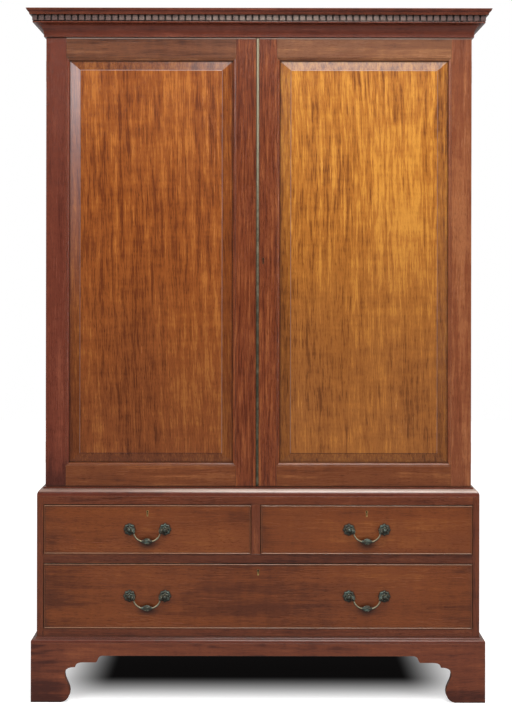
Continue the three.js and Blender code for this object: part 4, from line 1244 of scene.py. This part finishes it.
def screw_head():
    """A slotted head one metre in radius and height."""
    start = math.asin(SCREW_SLOT_SHARE)
    turns = [start + (math.pi - 2 * start) * step / SCREW_SIDES for step in range(SCREW_SIDES + 1)]
    halves = []
    for hand in (-1, 1):
        rings = [[(math.cos(turn), hand * math.sin(turn), z) for turn in turns] for z in (0, 1)]
        halves.append(ring_mesh("half", rings))
    return joined("screw_head", halves)


def nail_head():
    """A hammered rose head one metre in radius and height."""
    turns = [turn_at(place, NAIL_SIDES) for place in range(NAIL_SIDES)]
    return ring_mesh("nail_head", [
        [(radius * math.cos(turn), radius * math.sin(turn), up) for turn in turns]
        for radius, up in NAIL_HEAD_SHARES
    ])


def dovetail():
    """A tail one metre long, wide and thick, narrower at its root."""
    narrow = TAIL_NARROW_SHARE / 2
    outline = ((0, -narrow), (1, -0.5), (1, 0.5), (0, narrow))
    return ring_mesh("dovetail", [[(x, y, z) for x, y in outline] for z in (0, 1)])


def copying_tree():
    """The tree that sets a sized, turned and randomly twisted copy of a shape on each point."""
    sockets = {
        "Points": "Geometry", "Shape": "Object", "Size": "Vector", "Turn": "Vector", "Twist": "Float",
        "Seed": "Int", "Finish": "Material",
    }
    tree, given = new_group("copies on points", "GeometryNodeTree", sockets, {"Copies": "Geometry"})
    shape = result("GeometryNodeObjectInfo", {"Object": given["Shape"]}, "Geometry")
    inputs = {"Points": given["Points"], "Instance": shape, "Rotation": given["Turn"], "Scale": given["Size"]}
    placed = result("GeometryNodeInstanceOnPoints", inputs)
    chance = {3: given["Twist"], "Seed": given["Seed"]}
    twist = result("FunctionNodeRandomValue", chance, 1, data_type="FLOAT")
    turn = result("ShaderNodeCombineXYZ", {"Z": twist})
    twisted = result("GeometryNodeRotateInstances", {"Instances": placed, "Rotation": turn})
    plain = result("GeometryNodeRealizeInstances", {0: twisted})
    finished = result("GeometryNodeSetMaterial", {"Geometry": plain, "Material": given["Finish"]})
    add("NodeGroupOutput", {"Copies": finished})
    return tree


COPYING = copying_tree()


def copies(name, places, shape, size, turn, twist, finish, body):
    """One piece made of a shape's copies, one at each place."""
    points = bpy.data.meshes.new(name)
    points.from_pydata(places, [], [])
    piece = link_piece(name, points)
    model = link_piece(f"{name}_model", shape)
    modifier = piece.modifiers.new("copies", "NODES")
    modifier.node_group = COPYING
    values = {
        "Shape": model, "Size": size, "Turn": [math.radians(part) for part in turn],
        "Twist": math.radians(twist), "Seed": len(places), "Finish": finish.material,
    }
    for item in COPYING.interface.items_tree:
        if item.name in values:
            modifier[item.identifier] = values[item.name]
    mesh = settle(piece)
    bpy.data.objects.remove(model)
    smooth(mesh, EDGE_ANGLE)
    return seat(piece, finish, body)


def hinge_screws():
    """Three flush screws in each leaf. The case leaves face forward and the door leaves face back."""
    for hand in HANDS:
        kinds = (("case", "case", 1, FACING_FRONT), ("door", f"{hand}_door", -1, FACING_BACK))
        for kind, body, side, turn in kinds:
            places = []
            for level in LEVELS:
                leaf = f"{hand}_{level}_hinge_{kind}_leaf"
                low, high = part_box(leaf)
                x = high.x - HINGE_SCREW_INSET if hand == "left" else low.x + HINGE_SCREW_INSET
                y = centre(leaf, "y") + side * HINGE_LEAF_GAP / 2
                places += [(x, y, low.z + (high.z - low.z) * share) for share in HINGE_SCREW_SHARES]
            name = f"{hand}_{kind}_leaf_screws"
            copies(name, places, screw_head(), SCREW_HEAD, turn, HALF_TURN, BRASS, body)


def back_nails():
    """Rose-headed nails across the ends and the middle of the back boards."""
    places = []
    for node in ("upper_back", "lower_back"):
        low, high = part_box(node)
        for z in (low.z + NAIL_FROM_END, centre(node, "z"), high.z - NAIL_FROM_END):
            for place in range(NAILS_A_BOARD):
                x = low.x + (high.x - low.x) * (place + 0.5) / NAILS_A_BOARD
                places.append((x, high.y, z))
    copies("back_nails", places, nail_head(), NAIL_HEAD, FACING_BACK, WHOLE_TURN, IRON, "case")


def dovetails():
    """The drawer sides' tails, seen in the ends of each front."""
    size = (TAIL_DEPTH, TAIL_WIDTH, TAIL_PROUD)
    for drawer in HANDLES:
        low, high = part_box(f"{drawer}_front")
        box_low, box_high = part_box(f"{drawer}_box")
        count = int((box_high.z - box_low.z) / TAIL_PITCH)
        spare = (box_high.z - box_low.z - (count - 1) * TAIL_PITCH) / 2
        for hand, x, lean in (("left", low.x, QUARTER_TURN), ("right", high.x, -QUARTER_TURN)):
            places = [(x, high.y, box_low.z + spare + step * TAIL_PITCH) for step in range(count)]
            turn = (lean, 0, -QUARTER_TURN)
            piece = copies(f"{drawer}_{hand}_tails", places, dovetail(), size, turn, 0, OAK, drawer)
            lay_grain(piece.data, piece.name, "y")


def glue_blocks():
    """Chamfered pine blocks in the corners behind the feet."""
    front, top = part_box("plinth_front")[1].yz
    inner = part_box("plinth_right")[0].x - GLUE_BLOCK_GAP
    outer = inner - GLUE_BLOCK
    rows = (("front", front + GLUE_BLOCK_GAP), ("rear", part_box("plinth_left")[1].y - GLUE_BLOCK))
    for hand, side in (("left", -1), ("right", 1)):
        for row, y in rows:
            far = y + GLUE_BLOCK
            chamfer = [(outer + GLUE_BLOCK_CHAMFER, far), (outer, far - GLUE_BLOCK_CHAMFER)]
            outline = [(inner, y), (inner, far), *chamfer, (outer, y)]
            rings = [[(side * x, y, z) for x, y in outline] for z in (GLUE_BLOCK_END, top)]
            mesh = ring_mesh("block", rings)
            smooth(mesh)
            piece = eased(link_piece(f"{hand}_{row}_glue_block", mesh), EASED_EDGE)
            lay_grain(piece.data, piece.name, "z")
            seat(piece, PINE, "case")


def kinds_of_ray():
    """Whether the camera sees a point, and whether gloss or glass does."""
    seen = add("ShaderNodeLightPath").outputs
    return seen["Is Camera Ray"], total(seen["Is Glossy Ray"], seen["Is Transmission Ray"])


def studio_floor():
    """A white floor that keeps the press's shadow, with a painted shadow under the press that is darkest
    under its back.
    """
    mesh = bpy.data.meshes.new("floor")
    corners = [(x * FLOOR_HALF, y * FLOOR_HALF, 0) for x, y in ((-1, -1), (1, -1), (1, 1), (-1, 1))]
    mesh.from_pydata(corners, [], [(0, 1, 2, 3)])
    finish = new_finish("white floor", None)
    seen, mirrored = kinds_of_ray()
    where = split(spot())
    from_middle = away_from(where["X"], 0)
    across = between(from_middle, SHADE_HALF_WIDTH - SHADE_SOFT_SIDE, SHADE_HALF_WIDTH, 1, 0)
    front = between(where["Y"], *SHADE_FRONT)
    back = between(where["Y"], *SHADE_BACK, 1, 0)
    dimmed = lay(shade(*FLOOR_WHITE), FLOOR_MIRRORED, mirrored)
    # Painted shadow on the floor under the press.
    pale = lay(dimmed, FLOOR_PAINTED_SHADOW, times(across, front, back))
    glow = times(total(seen, times(mirrored, MIRRORED_FLOOR)), FLOOR_GLOW)
    matte = add("ShaderNodeBsdfDiffuse", {"Color": pale})
    light = add("ShaderNodeEmission", {"Color": pale, "Strength": glow})
    both = add("ShaderNodeAddShader", {0: matte.outputs[0], 1: light.outputs[0]})
    add("ShaderNodeOutputMaterial", {"Surface": both.outputs[0]})
    mesh.materials.append(finish.material)
    link_piece("studio_floor", mesh)


def studio_world():
    """White behind the press, and an even grey light from all around."""
    world = bpy.data.worlds.new("studio")
    world.use_nodes = True
    open_tree(world.node_tree)
    seen, mirrored = kinds_of_ray()
    behind = between(split(spot("Generated"))["Y"], -0.8, -0.15, 0.06, 0.38)
    shown = total(seen, times(mirrored, behind))
    ambient = times(maths("SUBTRACT", 1, total(seen, mirrored)), AMBIENT)
    strength = total(shown, ambient)
    glow = add("ShaderNodeBackground", {"Color": shade(*WHITE), "Strength": strength})
    add("ShaderNodeOutputWorld", {"Surface": glow.outputs[0]})
    bpy.context.scene.world = world


def studio_lamps():
    for name, place, target, (width, height), power in SOFTBOXES:
        data = bpy.data.lights.new(name, "AREA")
        data.shape = "RECTANGLE"
        data.size = width
        data.size_y = height
        data.energy = power
        lamp = link_piece(name, data)
        lamp.location = place
        lamp.rotation_euler = (Vector(target) - Vector(place)).to_track_quat("-Z", "Y").to_euler()
        lamp.visible_camera = False


def studio_camera():
    """A straight front view from a little below eye level, through a long lens."""
    data = bpy.data.cameras.new("camera")
    data.lens = CAMERA_LENS
    data.sensor_width = SENSOR_WIDTH
    data.shift_y = (CAMERA_AIM_HEIGHT - CAMERA_HEIGHT) / CAMERA_DISTANCE * CAMERA_LENS / SENSOR_WIDTH
    camera = link_piece("camera", data)
    camera.location = (CAMERA_SIDE, DOOR_FACE - CAMERA_DISTANCE, CAMERA_HEIGHT)
    camera.rotation_euler = (math.radians(QUARTER_TURN), math.radians(CAMERA_ROLL), 0)
    bpy.context.scene.camera = camera


cornice()
upper_case()
doors()
lower_case()
plinth()
drawers()
handles()
keyholes()
locks()
hinge_screws()
back_nails()
dovetails()
glue_blocks()
studio_floor()
studio_world()
studio_lamps()
studio_camera()
bpy.context.scene.view_settings.view_transform = "Standard"
